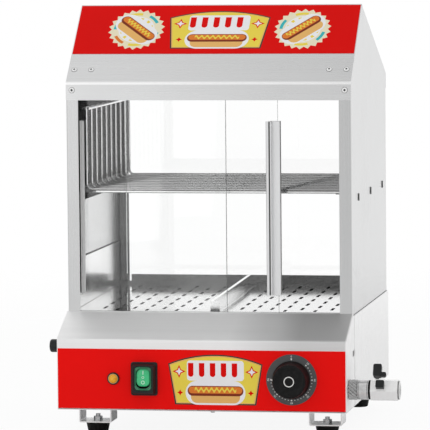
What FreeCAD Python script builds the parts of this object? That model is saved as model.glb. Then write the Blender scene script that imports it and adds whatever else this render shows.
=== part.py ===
import FreeCAD, Part

import math
import os

# Counter-top hot dog steamer: a sheet steel cabinet on a wider base with a sloping control console.
# Two glass doors slide in front, a wire bun rack hangs in the upper half, and sausages lie on a
# perforated tray over a heated water tank that drains through a ball valve on the right.
# Millimetres, +Z up, front towards -Y. Pieces are placed about the middle of the cabinet's front
# plane, and the whole is moved at the end so that the origin is the middle of the overall floor area.

V = FreeCAD.Vector

# Sheet metal
sheet = 1.0
base_sheet = 1.5
inner_bend = 1.0
overrun = 2.0
seat_gap = 0.3
close_gap = 0.2
edge_slack = 0.0001
parallel_slack = 0.000001

# Cabinet
cabinet_width = 372.0
cabinet_depth = 336.0
opening_height = 274.0
band_height = 22.1
roof_rise = 96.5
ridge_setback = 105.0
rear_eave_drop = 1.0
post_width = 15.8
rear_post_width = 12.5
panel_lap = 35.5

# Base and console
console_depth = 66.0
console_face_height = 91.0
slope_rise = 29.0
casing_step = 3.0
seam_setback = 8.0
base_flange = 18.0
base_edge_round = 1.2
casing_tab_length = 36.0
casing_tab_depth = 14.0
casing_proud = 0.8
cheek_slot_y = -1.0
cheek_slot_width = 14.0
cheek_slot_low = 65.2
cheek_slot_height = 7.7

# Feet
rubber_height = 13.7
rubber_top_radius = 15.8
rubber_foot_radius = 13.0
rubber_chamfer = 1.0
bracket_height = 24.8
bracket_width = 42.8
bracket_depth = 38.0
bracket_sheet = 1.5
bracket_flange = 9.5
foot_side_inset = 36.5
front_foot_y = 14.0
rear_foot_inset = 36.0
stud_radius = 3.0
stud_length = 19.2
stud_bury = 9.5
nut_flats = 10.0
nut_height = 5.0
hole_gap = 0.2

# Sliding doors and their tracks
glass_thickness = 4.0
door_width = 199.5
door_side_gap = 0.9
right_door_open = 91.9
front_glass_setback = 13.0
track_pitch = 14.0
track_slot = 5.0
track_wall = 1.2
track_height = 6.5
track_drop = 5.5
glass_lift = 0.3
top_track_height = 15.0
top_track_clear = 1.5
lift_out_room = 6.0
glass_chamfer = 0.4

# Door handles
handle_width = 17.4
handle_rise = 22.5
handle_top_gap = 27.5
handle_overhang = 3.4
handle_front_wall = 2.0
handle_back_wall = 1.5
handle_reach = 9.0
handle_lip_width = 6.4
handle_fin_wall = 1.8
handle_groove_start = 3.2
handle_groove_width = 2.0
handle_groove_depth = 1.1
handle_channel_width = 2.0
handle_channel_depth = 1.0

# Back of the cabinet
rear_glass_gap = 1.9
rear_channel_wall_height = 7.0
rear_channel_drop = 9.5
rear_channel_slack = 1.2
rear_sill_height = 17.5
rear_sill_step = 9.2
rear_sill_step_inset = 17.5
rear_glass_headroom = 9.0
bead_width = 4.7
bead_overhang = 2.2

# Wall liners
liner_sheet = 0.8
liner_height = 64.0
liner_front_setback = 35.0
ledge_width = 12.0
ledge_end_gap = 12.5

# Water tank
tank_flange_drop = 15.5
tank_rim = 18.0
tank_depth = 62.0
tank_corner = 12.0
tank_bottom_round = 8.0
tank_front_setback = 35.5
tank_side_gap = 0.4
tank_rear_gap = 0.6

# Perforated tray
tray_drop = 2.5
tray_sheet = 0.8
tray_side_gap = 0.6
tray_slope_share = 0.0215
slot_length = 24.0
slot_width = 4.0
slot_row_pitch = 19.8
slot_pitch = 46.3
slot_first_inset = 34.4
slot_wall_inset = 34.6
slot_rows = 7
slots_per_row = 6
slot_front_margin = 5.0

# Divider
divider_height = 13.8
divider_offset = 4.0
divider_foot = 12.0
divider_hem = 4.4
divider_tab_width = 11.5
divider_tab_height = 13.0
divider_tab_round = 4.0
divider_end_gap = 1.0

# Bun rack and its supports
rack_rise = 151.0
rack_support_leg = 26.0
rack_support_drop = 13.0
rack_support_front = 45.0
rack_support_rear_gap = 18.0
hook_count = 3
hook_first_setback = 64.0
hook_last_inset = 42.0
hook_thickness = 1.5
hook_height = 9.4
hook_drop = 0.8
hook_slot_gap = 0.3
hook_proud = 1.2
rack_wire_radius = 1.6
rack_frame_radius = 2.0
rack_wire_count = 10
rack_side_slack = 24.0
rack_shift = 6.0
rack_side_height = 107.0
rack_bend = 6.0
rack_front_setback = 37.6
rack_rear_gap = 8.4
rack_frame_inset = 3.6
rack_frame_end_inset = 2.4
rack_frame_corner = 8.0
weld_depth = 0.3

# Canopy fixings
brace_leg = 22.4
brace_top_leg = 28.0
side_flange = 14.0
rivet_side_inset = 8.0
rivet_inner_inset = 30.3
rivet_slope_distance = 23.5
rivet_band_drop = 9.0
rivet_head_radius = 3.4
rivet_head_height = 1.3
rivet_shank_radius = 1.6
rivet_dimple_radius = 1.1
rivet_dimple_depth = 0.5
rivet_taper_share = 0.72
rivet_tail = 1.6
rivet_tail_radius = 2.4
ridge_lap = 10.0
ridge_gap = 2.0
canopy_lip = 8.0

# Printed panels
panel_sheet = 0.5
panel_side_gap = 1.2
panel_height = 77.0
panel_lift = 2.0
sign_side_gap = 1.0
sign_width_along_slope = 89.2
sign_top_gap = 0.8

# Thermostat, dial and knob
dial_inset = 70.3
dial_height = 42.2
dial_radius = 32.5
dial_thickness = 1.2
knob_base_radius = 24.2
knob_face_radius = 21.5
knob_proud = 21.3
knob_gap = 0.5
knob_edge_round = 2.5
knob_dish_radius = 17.0
knob_dish_depth = 0.8
knob_hub_radius = 7.0
shaft_radius = 3.0
shaft_gap = 0.06
shaft_hole_radius = 5.0
shaft_in_knob = 12.0
shaft_in_body = 12.5
thermostat_size = 34.0
thermostat_depth = 28.5

# Switch
switch_inset = 114.25
switch_height = 41.2
switch_width = 34.5
switch_tall = 43.0
switch_flange = 2.5
switch_proud = 12.0
switch_shoulder_inset = 2.0
switch_top_inset = 4.0
switch_window_width = 22.6
switch_window_tall = 31.5
switch_corner = 3.0
boot_opening_width = 16.2
boot_opening_tall = 25.6
boot_thickness = 1.0
boot_setback = 2.0
rocker_width = 14.7
rocker_tall = 22.4
rocker_depth = 13.0
rocker_crown_radius = 40.0
rocker_crown_gap = 1.0
rocker_tilt = 6.0
rocker_side_gap = 0.6
rocker_pin_radius = 1.5
rocker_pin_length = 3.0
housing_width = 24.8
housing_tall = 33.6
housing_depth = 26.0
cutout_gap = 0.3

# Indicator lamp
lamp_inset = 73.9
lamp_height = 41.0
lamp_ring_radius = 8.0
lamp_ring_proud = 2.2
lamp_tube_radius = 6.2
lamp_lens_radius = 5.5
lamp_lens_proud = 6.5
lamp_lens_round = 3.0
lamp_tube_depth = 20.0

# Safety cut-out with its reset button on the left
reset_setback = 30.0
reset_height = 78.9
reset_neck_radius = 6.9
reset_button_radius = 8.45
reset_gap = 0.06
reset_rest_gap = 2.8
reset_travel_room = 2.2
reset_hollow = 5.7
reset_skirt = 3.6
reset_body_size = 26.0
reset_body_depth = 24.0

# Drain pipe and ball valve on the right
valve_setback = 22.0
valve_height = 27.9
pipe_radius = 8.0
pipe_bore = 6.5
pipe_bend = 20.0
pipe_drop_bend = 12.0
drain_from_right = 19.0
drain_from_tank_front = 28.0
pipe_nut_flats = 24.4
pipe_nut_length = 11.5
sleeve_radius = 12.6
sleeve_length = 14.3
seal_radius = 12.2
seal_length = 2.9
valve_flats = 25.2
valve_length = 34.6
valve_end_radius = 11.8
valve_end_length = 2.2
outlet_bore = 7.5
outlet_depth = 11.0
stem_from_valve_start = 13.0
ball_radius = 8.3
ball_gap = 0.3
ball_bore = 6.0
stem_angle = 30.0
stem_radius = 4.0
stem_gap = 0.06
stem_bury = 1.6
stem_length = 10.4
lever_thickness = 2.0
lever_lift = 0.6
lever_neck_width = 5.0
lever_neck_offset = 4.2
lever_length = 26.0
hub_width = 10.8
hub_tall = 10.4
hub_height = 5.4
grip_width = 10.6
grip_start = 10.7
grip_length = 16.6
grip_depth = 8.0
grip_round = 2.0
lug_width = 6.1
lug_start = 10.8
lug_length = 5.8
lug_depth = 5.0
lug_round = 2.2

# Heating element, level probe and thermostat bulb in the tank
element_radius = 4.0
element_half_spread = 70.0
element_bend = 40.0
element_rise = 16.0
element_tail = 16.0
element_rear_gap = 24.0
gland_flats = 17.0
gland_length = 6.0
gland_gap = 0.05
probe_radius = 2.5
probe_offset = 18.0
probe_length = 34.0
probe_tail = 12.0
probe_rise = 26.0
bulb_radius = 3.2
bulb_length = 78.0
bulb_offset = 104.0
bulb_rise = 26.0
capillary_radius = 1.1
capillary_bend = 9.0
capillary_run = 30.0

# Cord gland on the back
gland_hex_flats = 22.0
gland_hex_length = 5.0
gland_dome_radius = 9.0
gland_dome_length = 11.0
gland_dome_round = 3.0
gland_bore = 4.2
gland_thread_radius = 7.8
gland_thread_length = 9.0
gland_offset = 118.0
gland_height = 27.5

# Base fixings
screw_radius = 2.0
screw_head_radius = 4.0
screw_head_height = 2.1
screw_length = 5.0
screw_taper_share = 0.6
front_screw_offset = 13.6
base_screw_inset = 9.0
base_screw_front = 60.0
base_screw_rear_gap = 70.0

# Heights from the floor
base_bottom = rubber_height + bracket_height
plate_top = base_bottom + sheet
flange_top = plate_top + base_sheet
slope_foot = base_bottom + console_face_height
sill_z = slope_foot + slope_rise
casing_top = sill_z - casing_step
band_bottom = sill_z + opening_height
fold_z = band_bottom + band_height
ridge_z = fold_z + roof_rise
eave_z = fold_z - rear_eave_drop
panel_bottom_z = casing_top - panel_lap
track_top = sill_z - track_drop
track_seat = track_top - track_height
track_floor = track_seat + track_wall
glass_bottom = track_floor + glass_lift
top_track_bottom = band_bottom + top_track_clear
top_track_top = top_track_bottom + top_track_height
glass_top = top_track_top - track_wall - lift_out_room
tank_flange_top = sill_z - tank_flange_drop
tank_flange_bottom = tank_flange_top - sheet
tank_bottom = tank_flange_bottom - tank_depth
tray_top = sill_z - tray_drop
rack_seat = sill_z + rack_rise

# Places across and back
half_width = cabinet_width / 2
inner_half = half_width - sheet
base_half = half_width + base_sheet
post_edge = half_width - post_width
rear_post_edge = half_width - rear_post_width
liner_face = inner_half - liner_sheet
front_face = -console_depth
panel_face = front_face - panel_sheet
rear_glass_back = cabinet_depth - sheet - rear_glass_gap
rear_glass_front = rear_glass_back - glass_thickness
rear_sill_front = rear_glass_front - rear_channel_slack / 2 - sheet
rear_glass_glance = rear_glass_back + rear_channel_slack / 2
front_glass_y = front_glass_setback
rear_door_glass_y = front_glass_setback + track_pitch
slot_margin = (track_slot - glass_thickness) / 2
track_front = front_glass_y - slot_margin - track_wall
track_back = rear_door_glass_y + glass_thickness + slot_margin + track_wall
beam_front = seam_setback
tank_rear = rear_sill_front - tank_rear_gap
foot_x = base_half - foot_side_inset
rear_foot_y = cabinet_depth - rear_foot_inset
valve_y = front_face + valve_setback
valve_z = base_bottom + valve_height
knob_front = panel_face - dial_thickness - knob_gap - knob_proud
reset_y = front_face + reset_setback
reset_z = base_bottom + reset_height
cap_rim_x = base_half + reset_rest_gap
button_tip = cap_rim_x + reset_skirt + reset_button_radius
nut_end = base_half + pipe_nut_length
sleeve_end = nut_end + sleeve_length
valve_start = sleeve_end + seal_length
valve_end = valve_start + valve_length + valve_end_length
gland_tip_y = cabinet_depth + base_sheet + gland_hex_length + gland_dome_length
gland_z = base_bottom + gland_height
dial_offset = base_half - dial_inset
dial_z = base_bottom + dial_height
lamp_offset = base_half - lamp_inset
lamp_z = base_bottom + lamp_height
switch_offset = base_half - switch_inset
switch_z = base_bottom + switch_height
handle_length = opening_height - handle_rise - handle_top_gap

# Roof slopes
slope_run = math.hypot(ridge_setback, roof_rise)
slope_along = V(0, ridge_setback / slope_run, roof_rise / slope_run)
slope_out = V(0, -roof_rise / slope_run, ridge_setback / slope_run)
ridge_point = (ridge_setback, ridge_z)
eave_point = (cabinet_depth, eave_z)
rear_run = math.dist(ridge_point, eave_point)
rear_along = ((eave_point[0] - ridge_point[0]) / rear_run, (eave_point[1] - ridge_point[1]) / rear_run)

# Bun rack
hook_pitch = (cabinet_depth - hook_first_setback - hook_last_inset) / (hook_count - 1)
rack_width = 2 * inner_half - rack_side_slack
rack_frame_z = rack_seat + seat_gap + rack_frame_radius
rack_wire_z = rack_frame_z + rack_frame_radius + rack_wire_radius - weld_depth
rack_left = rack_shift - rack_width / 2
rack_right = rack_shift + rack_width / 2
rack_top = rack_wire_z + rack_side_height
rack_back = rear_sill_front - rack_rear_gap

# Valve lever
stem_out = V(0, -math.cos(math.radians(stem_angle)), math.sin(math.radians(stem_angle)))
lever_up = V(0, math.sin(math.radians(stem_angle)), math.cos(math.radians(stem_angle)))
stem_origin = V(valve_start + stem_from_valve_start, valve_y, valve_z)
valve_flat = valve_flats / 2
plate_base = valve_flat + lever_lift

shift = V((button_tip - valve_end) / 2, -(knob_front + gland_tip_y) / 2, 0)


def box(x0, x1, y0, y1, z0, z1):
    return Part.makeBox(x1 - x0, y1 - y0, z1 - z0, V(x0, y0, z0))


def mirrored(shape):
    return shape.mirror(V(0, 0, 0), V(1, 0, 0))


def joined(shapes):
    whole = shapes[0]
    for other in shapes[1:]:
        whole = whole.fuse(other)
    return whole.removeSplitter()


def group(shapes):
    return Part.makeCompound(shapes)


def rod(start, direction, length, radius):
    return Part.makeCylinder(radius, length, start, direction)


def edges_along(shape, direction, wanted=lambda middle: True):
    found = []
    for edge in shape.Edges:
        if not isinstance(edge.Curve, Part.Line):
            continue
        tangent = edge.Curve.Direction
        if abs(abs(tangent.dot(direction)) - 1) < parallel_slack and wanted(edge.CenterOfMass):
            found.append(edge)
    return found


def rounded_along(shape, direction, radius, wanted=lambda middle: True):
    return shape.makeFillet(radius, edges_along(shape, direction, wanted))


def outline_solid(points, place, sweep):
    corners = [place(u, v) for u, v in points]
    return Part.Face(Part.makePolygon(corners + corners[:1])).extrude(sweep)


def yz_at(x):
    return lambda u, v: V(x, u, v)


def xy_at(z):
    return lambda u, v: V(u, v, z)


def xz_at(y):
    return lambda u, v: V(u, y, v)


def hexagon_solid(centre, across, direction, side, length, flats):
    # a prism of six flats, with one corner towards "across"
    corners = []
    for step in range(6):
        angle = math.radians(60 * step)
        corners.append(centre + (across * math.cos(angle) + side * math.sin(angle)) * (flats / math.sqrt(3)))
    return Part.Face(Part.makePolygon(corners + corners[:1])).extrude(direction * length)


# Bent sheet: the points follow one face, and the sheet lies to the left of them, or to the right
# when the thickness is negative. Each corner is a bend with the given radius on its inside.
def bent_sheet(points, thickness, bend, place, sweep):
    side = math.copysign(1, thickness)
    depth = abs(thickness)
    near = []
    far = []
    units = []
    for start, end in zip(points, points[1:]):
        run = math.dist(start, end)
        units.append(((end[0] - start[0]) / run, (end[1] - start[1]) / run))
    normals = [(-u[1] * side, u[0] * side) for u in units]

    def moved(point, direction, distance):
        return (point[0] + direction[0] * distance, point[1] + direction[1] * distance)

    near_at = points[0]
    far_at = moved(points[0], normals[0], depth)
    ends = [near_at, far_at]
    for index, corner in enumerate(points[1:-1]):
        first, second = units[index], units[index + 1]
        turn = math.atan2(first[0] * second[1] - first[1] * second[0],
                          first[0] * second[0] + first[1] * second[1])
        towards_sheet = turn * side > 0
        radius = bend + depth if towards_sheet else bend
        far_radius = bend if towards_sheet else bend + depth
        reach = radius * math.tan(abs(turn) / 2)
        enter = moved(corner, first, -reach)
        leave = moved(corner, second, reach)
        centre = moved(enter, normals[index], radius if towards_sheet else -radius)
        aim = math.dist(corner, centre)
        ray = ((corner[0] - centre[0]) / aim, (corner[1] - centre[1]) / aim)
        far_enter = moved(enter, normals[index], depth)
        far_leave = moved(leave, normals[index + 1], depth)
        near.append(("line", near_at, enter))
        near.append(("arc", enter, moved(centre, ray, radius), leave))
        far.append(("line", far_at, far_enter))
        far.append(("arc", far_enter, moved(centre, ray, far_radius), far_leave))
        near_at, far_at = leave, far_leave
    near_end = points[-1]
    far_end = moved(points[-1], normals[-1], depth)
    near.append(("line", near_at, near_end))
    far.append(("line", far_at, far_end))
    loop = near + [("line", near_end, far_end)] + far[::-1] + [("line", ends[1], ends[0])]
    edges = []
    for piece in loop:
        spots = [place(*spot) for spot in piece[1:]]
        if piece[0] == "arc":
            edges.append(Part.Arc(*spots).toShape())
        else:
            edges.append(Part.LineSegment(*spots).toShape())
    return Part.Face(Part.Wire(edges)).extrude(sweep)


# Round wire or tube along straight runs joined by tangent arcs
def tube_path(points, bends):
    edges = []
    at = points[0]
    for index, corner in enumerate(points[1:-1]):
        into = (corner - points[index]).normalize()
        out = (points[index + 2] - corner).normalize()
        turn = into.getAngle(out)
        reach = bends[index] * math.tan(turn / 2)
        enter = corner - into * reach
        leave = corner + out * reach
        inward = (out - into).normalize()
        middle = corner + inward * (bends[index] / math.cos(turn / 2) - bends[index])
        edges.append(Part.LineSegment(at, enter).toShape())
        edges.append(Part.Arc(enter, middle, leave).toShape())
        at = leave
    edges.append(Part.LineSegment(at, points[-1]).toShape())
    return Part.Wire(edges)


def tube(points, bends, radius):
    start_direction = (points[1] - points[0]).normalize()
    ring = Part.Wire(Part.Circle(points[0], start_direction, radius).toShape())
    return tube_path(points, bends).makePipeShell([ring], True, False)


# A point at a distance along the front roof slope, measured from the fold


def slope_point(x, distance, outward):
    return V(x, 0, fold_z) + slope_along * distance + slope_out * outward


def slope_height(y):
    return fold_z + y * roof_rise / ridge_setback


def console_shell():
    path = [
        (front_face + base_flange, plate_top),
        (front_face, plate_top),
        (front_face, slope_foot),
        (0, sill_z),
    ]
    front = bent_sheet(path, -base_sheet, inner_bend, yz_at(-base_half), V(2 * base_half, 0, 0))
    front = front.cut(box(-base_half - overrun, base_half + overrun, 0, overrun, plate_top, sill_z))
    ledge_half = post_edge - seat_gap
    ledge = box(-ledge_half, ledge_half, -base_sheet / 2, seam_setback, sill_z - base_sheet, sill_z)
    cheek_outline = [
        (front_face, plate_top),
        (front_face, slope_foot),
        (0, sill_z),
        (0, casing_top),
        (seam_setback, casing_top),
        (seam_setback, plate_top),
    ]
    right = outline_solid(cheek_outline, yz_at(half_width), V(base_sheet, 0, 0))
    shell = joined([front, ledge, right, mirrored(right)])
    corner = lambda middle: abs(middle.y - front_face) < close_gap and abs(middle.x) > half_width
    shell = rounded_along(shell, V(0, 0, 1), base_edge_round, corner)
    through = V(0, 1, 0)
    start_y = front_face - overrun
    depth = base_sheet + 2 * overrun
    shell = shell.cut(rod(V(dial_offset, start_y, dial_z), through, depth, shaft_hole_radius))
    shell = shell.cut(rod(V(-lamp_offset, start_y, lamp_z), through, depth, lamp_tube_radius + hole_gap))
    shell = shell.cut(switch_opening(start_y, start_y + depth))
    drain = rod(V(half_width - overrun, valve_y, valve_z), V(1, 0, 0), base_sheet + 2 * overrun,
                pipe_radius + hole_gap)
    reset = rod(V(-base_half - overrun, reset_y, reset_z), V(1, 0, 0), base_sheet + 2 * overrun,
                reset_neck_radius + hole_gap)
    hole = rod(V(front_screw_offset, front_face + base_screw_inset, base_bottom), V(0, 0, 1),
               2 * base_sheet + sheet, screw_radius + hole_gap)
    low = base_bottom + cheek_slot_low
    half_slot = cheek_slot_width / 2
    reach = base_half + overrun
    slot = box(-reach, reach, cheek_slot_y - half_slot, cheek_slot_y + half_slot, low,
               low + cheek_slot_height)
    return shell.cut(drain).cut(reset).cut(hole).cut(slot)


def switch_opening(y0, y1):
    half_w = housing_width / 2 + cutout_gap
    half_t = housing_tall / 2 + cutout_gap
    return box(-switch_offset - half_w, -switch_offset + half_w, y0, y1, switch_z - half_t,
               switch_z + half_t)


def base_screw_spots():
    side = base_half - base_screw_inset
    spots = [V(front_screw_offset, front_face + base_screw_inset, base_bottom)]
    for y in (base_screw_front, cabinet_depth - base_screw_rear_gap):
        spots.append(V(side, y, base_bottom))
        spots.append(V(-side, y, base_bottom))
    return spots


def base_casing():
    back = cabinet_depth + base_sheet
    side = base_half + casing_proud
    path = [(side, seam_setback), (side, back), (-side, back), (-side, seam_setback)]
    wall = bent_sheet(path, base_sheet, inner_bend, xy_at(plate_top), V(0, 0, casing_top - plate_top))
    reach = casing_tab_length / 2
    inside = side - base_sheet
    shapes = [wall, box(-reach, reach, cabinet_depth - casing_tab_depth, cabinet_depth, plate_top,
                        flange_top)]
    for spot in base_screw_spots()[1:]:
        edge = math.copysign(inside, spot.x)
        inner = math.copysign(inside - casing_tab_depth, spot.x)
        shapes.append(box(min(edge, inner), max(edge, inner), spot.y - reach, spot.y + reach, plate_top,
                          flange_top))
    casing = joined(shapes)
    gland = V(gland_offset, cabinet_depth - overrun, gland_z)
    casing = casing.cut(rod(gland, V(0, 1, 0), base_sheet + 2 * overrun, gland_thread_radius + hole_gap))
    for spot in base_screw_spots():
        casing = casing.cut(rod(spot, V(0, 0, 1), 2 * base_sheet + sheet, screw_radius + hole_gap))
    return casing


def base_plate():
    side = base_half - seat_gap
    plate = box(-side, side, front_face + seat_gap, cabinet_depth + base_sheet - seat_gap, base_bottom,
                plate_top)
    for spot in base_screw_spots():
        plate = plate.cut(rod(spot - V(0, 0, overrun), V(0, 0, 1), sheet + 2 * overrun,
                              screw_radius + hole_gap))
    return plate


def base_screws():
    screws = []
    for spot in base_screw_spots():
        head = Part.makeCone(screw_head_radius * screw_taper_share, screw_head_radius, screw_head_height,
                             spot - V(0, 0, screw_head_height))
        shank = rod(spot, V(0, 0, 1), screw_length, screw_radius)
        screws.append(joined([head, shank]))
    return group(screws)


def side_panel_right():
    path = [(post_edge, 0), (half_width, 0), (half_width, cabinet_depth), (rear_post_edge, cabinet_depth)]
    tall = ridge_z - panel_bottom_z
    panel = bent_sheet(path, sheet, inner_bend, xy_at(panel_bottom_z), V(0, 0, tall))
    outline = [
        (0, panel_bottom_z),
        (0, fold_z),
        ridge_point,
        eave_point,
        (cabinet_depth, panel_bottom_z),
    ]
    across = half_width + overrun
    panel = panel.common(outline_solid(outline, yz_at(0), V(across, 0, 0)))
    start = 2 * sheet
    finish = slope_run - start
    flange_outline = []
    for distance, outward in ((start, 0), (finish, 0), (finish, -sheet), (start, -sheet)):
        spot = slope_point(0, distance, outward)
        flange_outline.append((spot.y, spot.z))
    flange = outline_solid(flange_outline, yz_at(inner_half - side_flange),
                           V(side_flange + sheet / 2, 0, 0))
    panel = joined([panel, flange])
    for y in hook_places():
        half_slot = hook_thickness / 2 + hook_slot_gap
        top = rack_seat - hook_drop + hook_slot_gap
        low = rack_seat - hook_drop - hook_height - hook_slot_gap
        panel = panel.cut(box(inner_half - overrun, half_width + overrun, y - half_slot, y + half_slot,
                              low, top))
    for spot, direction in rivet_spots():
        panel = panel.cut(rod(spot + direction * overrun, direction * -1, overrun + 2 * sheet + overrun,
                              rivet_shank_radius))
    return panel


def hook_places():
    return [hook_first_setback + step * hook_pitch for step in range(hook_count)]


def rivet_spots():
    spots = []
    for inset in (rivet_side_inset, rivet_inner_inset):
        spots.append((slope_point(half_width - inset, rivet_slope_distance, sheet), slope_out))
    spots.append((V(half_width - rivet_side_inset, -sheet, fold_z - rivet_band_drop), V(0, -1, 0)))
    return spots


def canopy():
    lift = (rear_along[1] * -sheet, rear_along[0] * sheet)
    lap_start = (ridge_point[0] + lift[0], ridge_point[1] + lift[1])
    # where the front slope meets the roof sheet's upper face
    gap = (lap_start[0] - ridge_point[0], lap_start[1] - ridge_point[1])
    front_unit = (slope_along.y, slope_along.z)
    cross = front_unit[0] * rear_along[1] - front_unit[1] * rear_along[0]
    climb = (gap[0] * rear_along[1] - gap[1] * rear_along[0]) / cross
    crest = (ridge_point[0] + front_unit[0] * climb, ridge_point[1] + front_unit[1] * climb)
    lap_end = (crest[0] + rear_along[0] * ridge_lap, crest[1] + rear_along[1] * ridge_lap)
    path = [(0, band_bottom), (0, fold_z), crest, lap_end]
    hood = bent_sheet(path, sheet, inner_bend, yz_at(-half_width), V(cabinet_width, 0, 0))
    lip_half = post_edge - seat_gap
    lip = box(-lip_half, lip_half, -sheet / 2, canopy_lip, band_bottom, band_bottom + sheet)
    hood = joined([hood, lip])
    for spot, direction in rivet_spots():
        drill = rod(spot + direction * overrun, direction * -1, 2 * overrun + sheet, rivet_shank_radius)
        hood = hood.cut(drill).cut(mirrored(drill))
    return hood


def roof_rear():
    start = (ridge_point[0] + rear_along[0] * ridge_gap, ridge_point[1] + rear_along[1] * ridge_gap)
    path = [start, eave_point, (cabinet_depth, band_bottom)]
    return bent_sheet(path, sheet, inner_bend, yz_at(-half_width), V(cabinet_width, 0, 0))


def front_brace():
    back = track_front + brace_leg
    crook = (back, slope_height(back))
    tip = (crook[0] - slope_along.y * brace_top_leg, crook[1] - slope_along.z * brace_top_leg)
    path = [(track_front, top_track_top), (back, top_track_top), crook, tip]
    half = inner_half - side_flange - seat_gap
    brace = bent_sheet(path, sheet, inner_bend, yz_at(-half), V(2 * half, 0, 0))
    for spot, direction in rivet_spots()[:2]:
        drill = rod(spot, direction * -1, sheet + 2 * sheet + overrun, rivet_shank_radius)
        brace = brace.cut(drill).cut(mirrored(drill))
    return brace


def rivet(spot, direction):
    head = Part.makeCone(rivet_head_radius, rivet_head_radius * rivet_taper_share, rivet_head_height,
                         spot, direction)
    shank = rod(spot, direction * -1, 2 * sheet, rivet_shank_radius)
    tail = rod(spot - direction * (2 * sheet), direction * -1, rivet_tail, rivet_tail_radius)
    dimple = rod(spot + direction * (rivet_head_height - rivet_dimple_depth), direction,
                 rivet_dimple_depth + overrun, rivet_dimple_radius)
    return joined([head, shank, tail]).cut(dimple)


def canopy_rivets():
    rivets = [rivet(spot, direction) for spot, direction in rivet_spots()]
    return group(rivets + [mirrored(one) for one in rivets])


def sill_beam():
    lip = tank_flange_bottom
    path = [
        (2 * sheet, sill_z - base_sheet),
        (beam_front + sheet, sill_z - base_sheet),
        (beam_front + sheet, track_seat),
        (track_back + sheet, track_seat),
        (track_back + sheet, lip),
        (track_back + sheet + ledge_width, lip),
    ]
    half = liner_face - seat_gap
    return bent_sheet(path, -sheet, inner_bend / 2, yz_at(-half), V(2 * half, 0, 0))


def track(z_floor, z_ends, z_back):
    half = liner_face - seat_gap
    floor_low, floor_high = sorted((z_floor, z_back))
    shapes = [box(-half, half, track_front, track_back, floor_low, floor_high)]
    wall_low, wall_high = sorted((z_floor, z_ends))
    for glass_y in (front_glass_y, rear_door_glass_y):
        before = glass_y - slot_margin
        after = glass_y + glass_thickness + slot_margin
        shapes.append(box(-half, half, before - track_wall, before, wall_low, wall_high))
        shapes.append(box(-half, half, after, after + track_wall, wall_low, wall_high))
    return joined(shapes)


def bottom_track():
    return track(track_floor, track_top, track_seat)


def top_track():
    return track(top_track_top - track_wall, top_track_bottom, top_track_top)


def rear_sill():
    back = rear_glass_glance + sheet
    bottom = sill_z - rear_channel_drop
    path = [
        (rear_sill_front, sill_z + rear_sill_height),
        (rear_sill_front, bottom),
        (back, bottom),
        (back, bottom + rear_channel_wall_height),
    ]
    half = inner_half
    sill = bent_sheet(path, sheet, inner_bend / 2, yz_at(-half), V(2 * half, 0, 0))
    step_x = inner_half - rear_sill_step_inset
    step_z = sill_z + rear_sill_height - rear_sill_step
    corner = box(step_x, half + overrun, rear_sill_front - overrun, rear_glass_front, step_z,
                 sill_z + rear_sill_height + overrun)
    return sill.cut(corner).cut(mirrored(corner))


def chamfered_pane(x0, x1, y0, z0, z1):
    pane = box(x0, x1, y0, y0 + glass_thickness, z0, z1)
    return pane.makeChamfer(glass_chamfer, pane.Edges)


def rear_glass():
    half = inner_half - rear_channel_slack
    low = sill_z - rear_channel_drop + sheet
    return chamfered_pane(-half, half, rear_glass_front, low, eave_z - rear_glass_headroom)


def rear_glass_beads():
    edge = rear_post_edge - bead_overhang
    low = sill_z + sheet
    high = eave_z - rear_glass_headroom
    bead = box(edge, edge + bead_width, rear_glass_back, cabinet_depth - sheet, low, high)
    return group([bead, mirrored(bead)])


def side_liner_right():
    top = sill_z + liner_height
    ledge_top = tank_flange_bottom
    wall = box(liner_face, inner_half, liner_front_setback, rear_sill_front - close_gap,
               ledge_top - liner_sheet, top)
    ledge_front = track_back + sheet + ledge_width + sheet
    ledge_back = rear_sill_front - ledge_end_gap
    ledge = box(liner_face - ledge_width, inner_half, ledge_front, ledge_back, ledge_top - liner_sheet,
                ledge_top)
    return joined([wall, ledge])


def rounded_pan(half, y0, y1, z0, z1, corner, bottom):
    block = box(-half, half, y0, y1, z0, z1)
    block = rounded_along(block, V(0, 0, 1), corner)
    low = [edge for edge in block.Edges if abs(edge.BoundBox.ZMax - z0) < edge_slack]
    return block.makeFillet(bottom, low)


def tank_front_wall():
    return tank_front_setback + tank_rim


def water_tank():
    side = liner_face - tank_side_gap
    front = tank_front_wall()
    back = tank_rear - tank_rim
    half = side - tank_rim
    outer = rounded_pan(half, front, back, tank_bottom, tank_flange_top, tank_corner, tank_bottom_round)
    inner = rounded_pan(half - sheet, front + sheet, back - sheet, tank_bottom + sheet,
                        tank_flange_top + overrun,
                        tank_corner - sheet, tank_bottom_round - sheet)
    flange = box(-side, side, tank_front_setback, tank_rear, tank_flange_bottom, tank_flange_top)
    tank = joined([outer, flange]).cut(inner)
    tank = tank.cut(rod(drain_mouth() - V(0, 0, sheet + overrun), V(0, 0, 1), 2 * overrun + sheet,
                        pipe_radius))
    for spot, radius in gland_spots():
        tank = tank.cut(rod(spot - V(0, overrun, 0), V(0, 1, 0), sheet + 2 * overrun, radius + gland_gap))
    return tank


def drain_mouth():
    side = liner_face - tank_side_gap - tank_rim
    return V(side - drain_from_right, tank_front_wall() + drain_from_tank_front, tank_bottom + sheet)


# Where round things pass through the tank's front wall, with their radius
def gland_spots():
    wall = tank_front_wall()
    return [
        (V(element_half_spread, wall, tank_bottom + element_rise), element_radius),
        (V(-element_half_spread, wall, tank_bottom + element_rise), element_radius),
        (V(-probe_offset, wall, tank_bottom + probe_rise), probe_radius),
        (V(bulb_offset, wall, tank_bottom + bulb_rise), bulb_radius),
    ]


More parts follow.
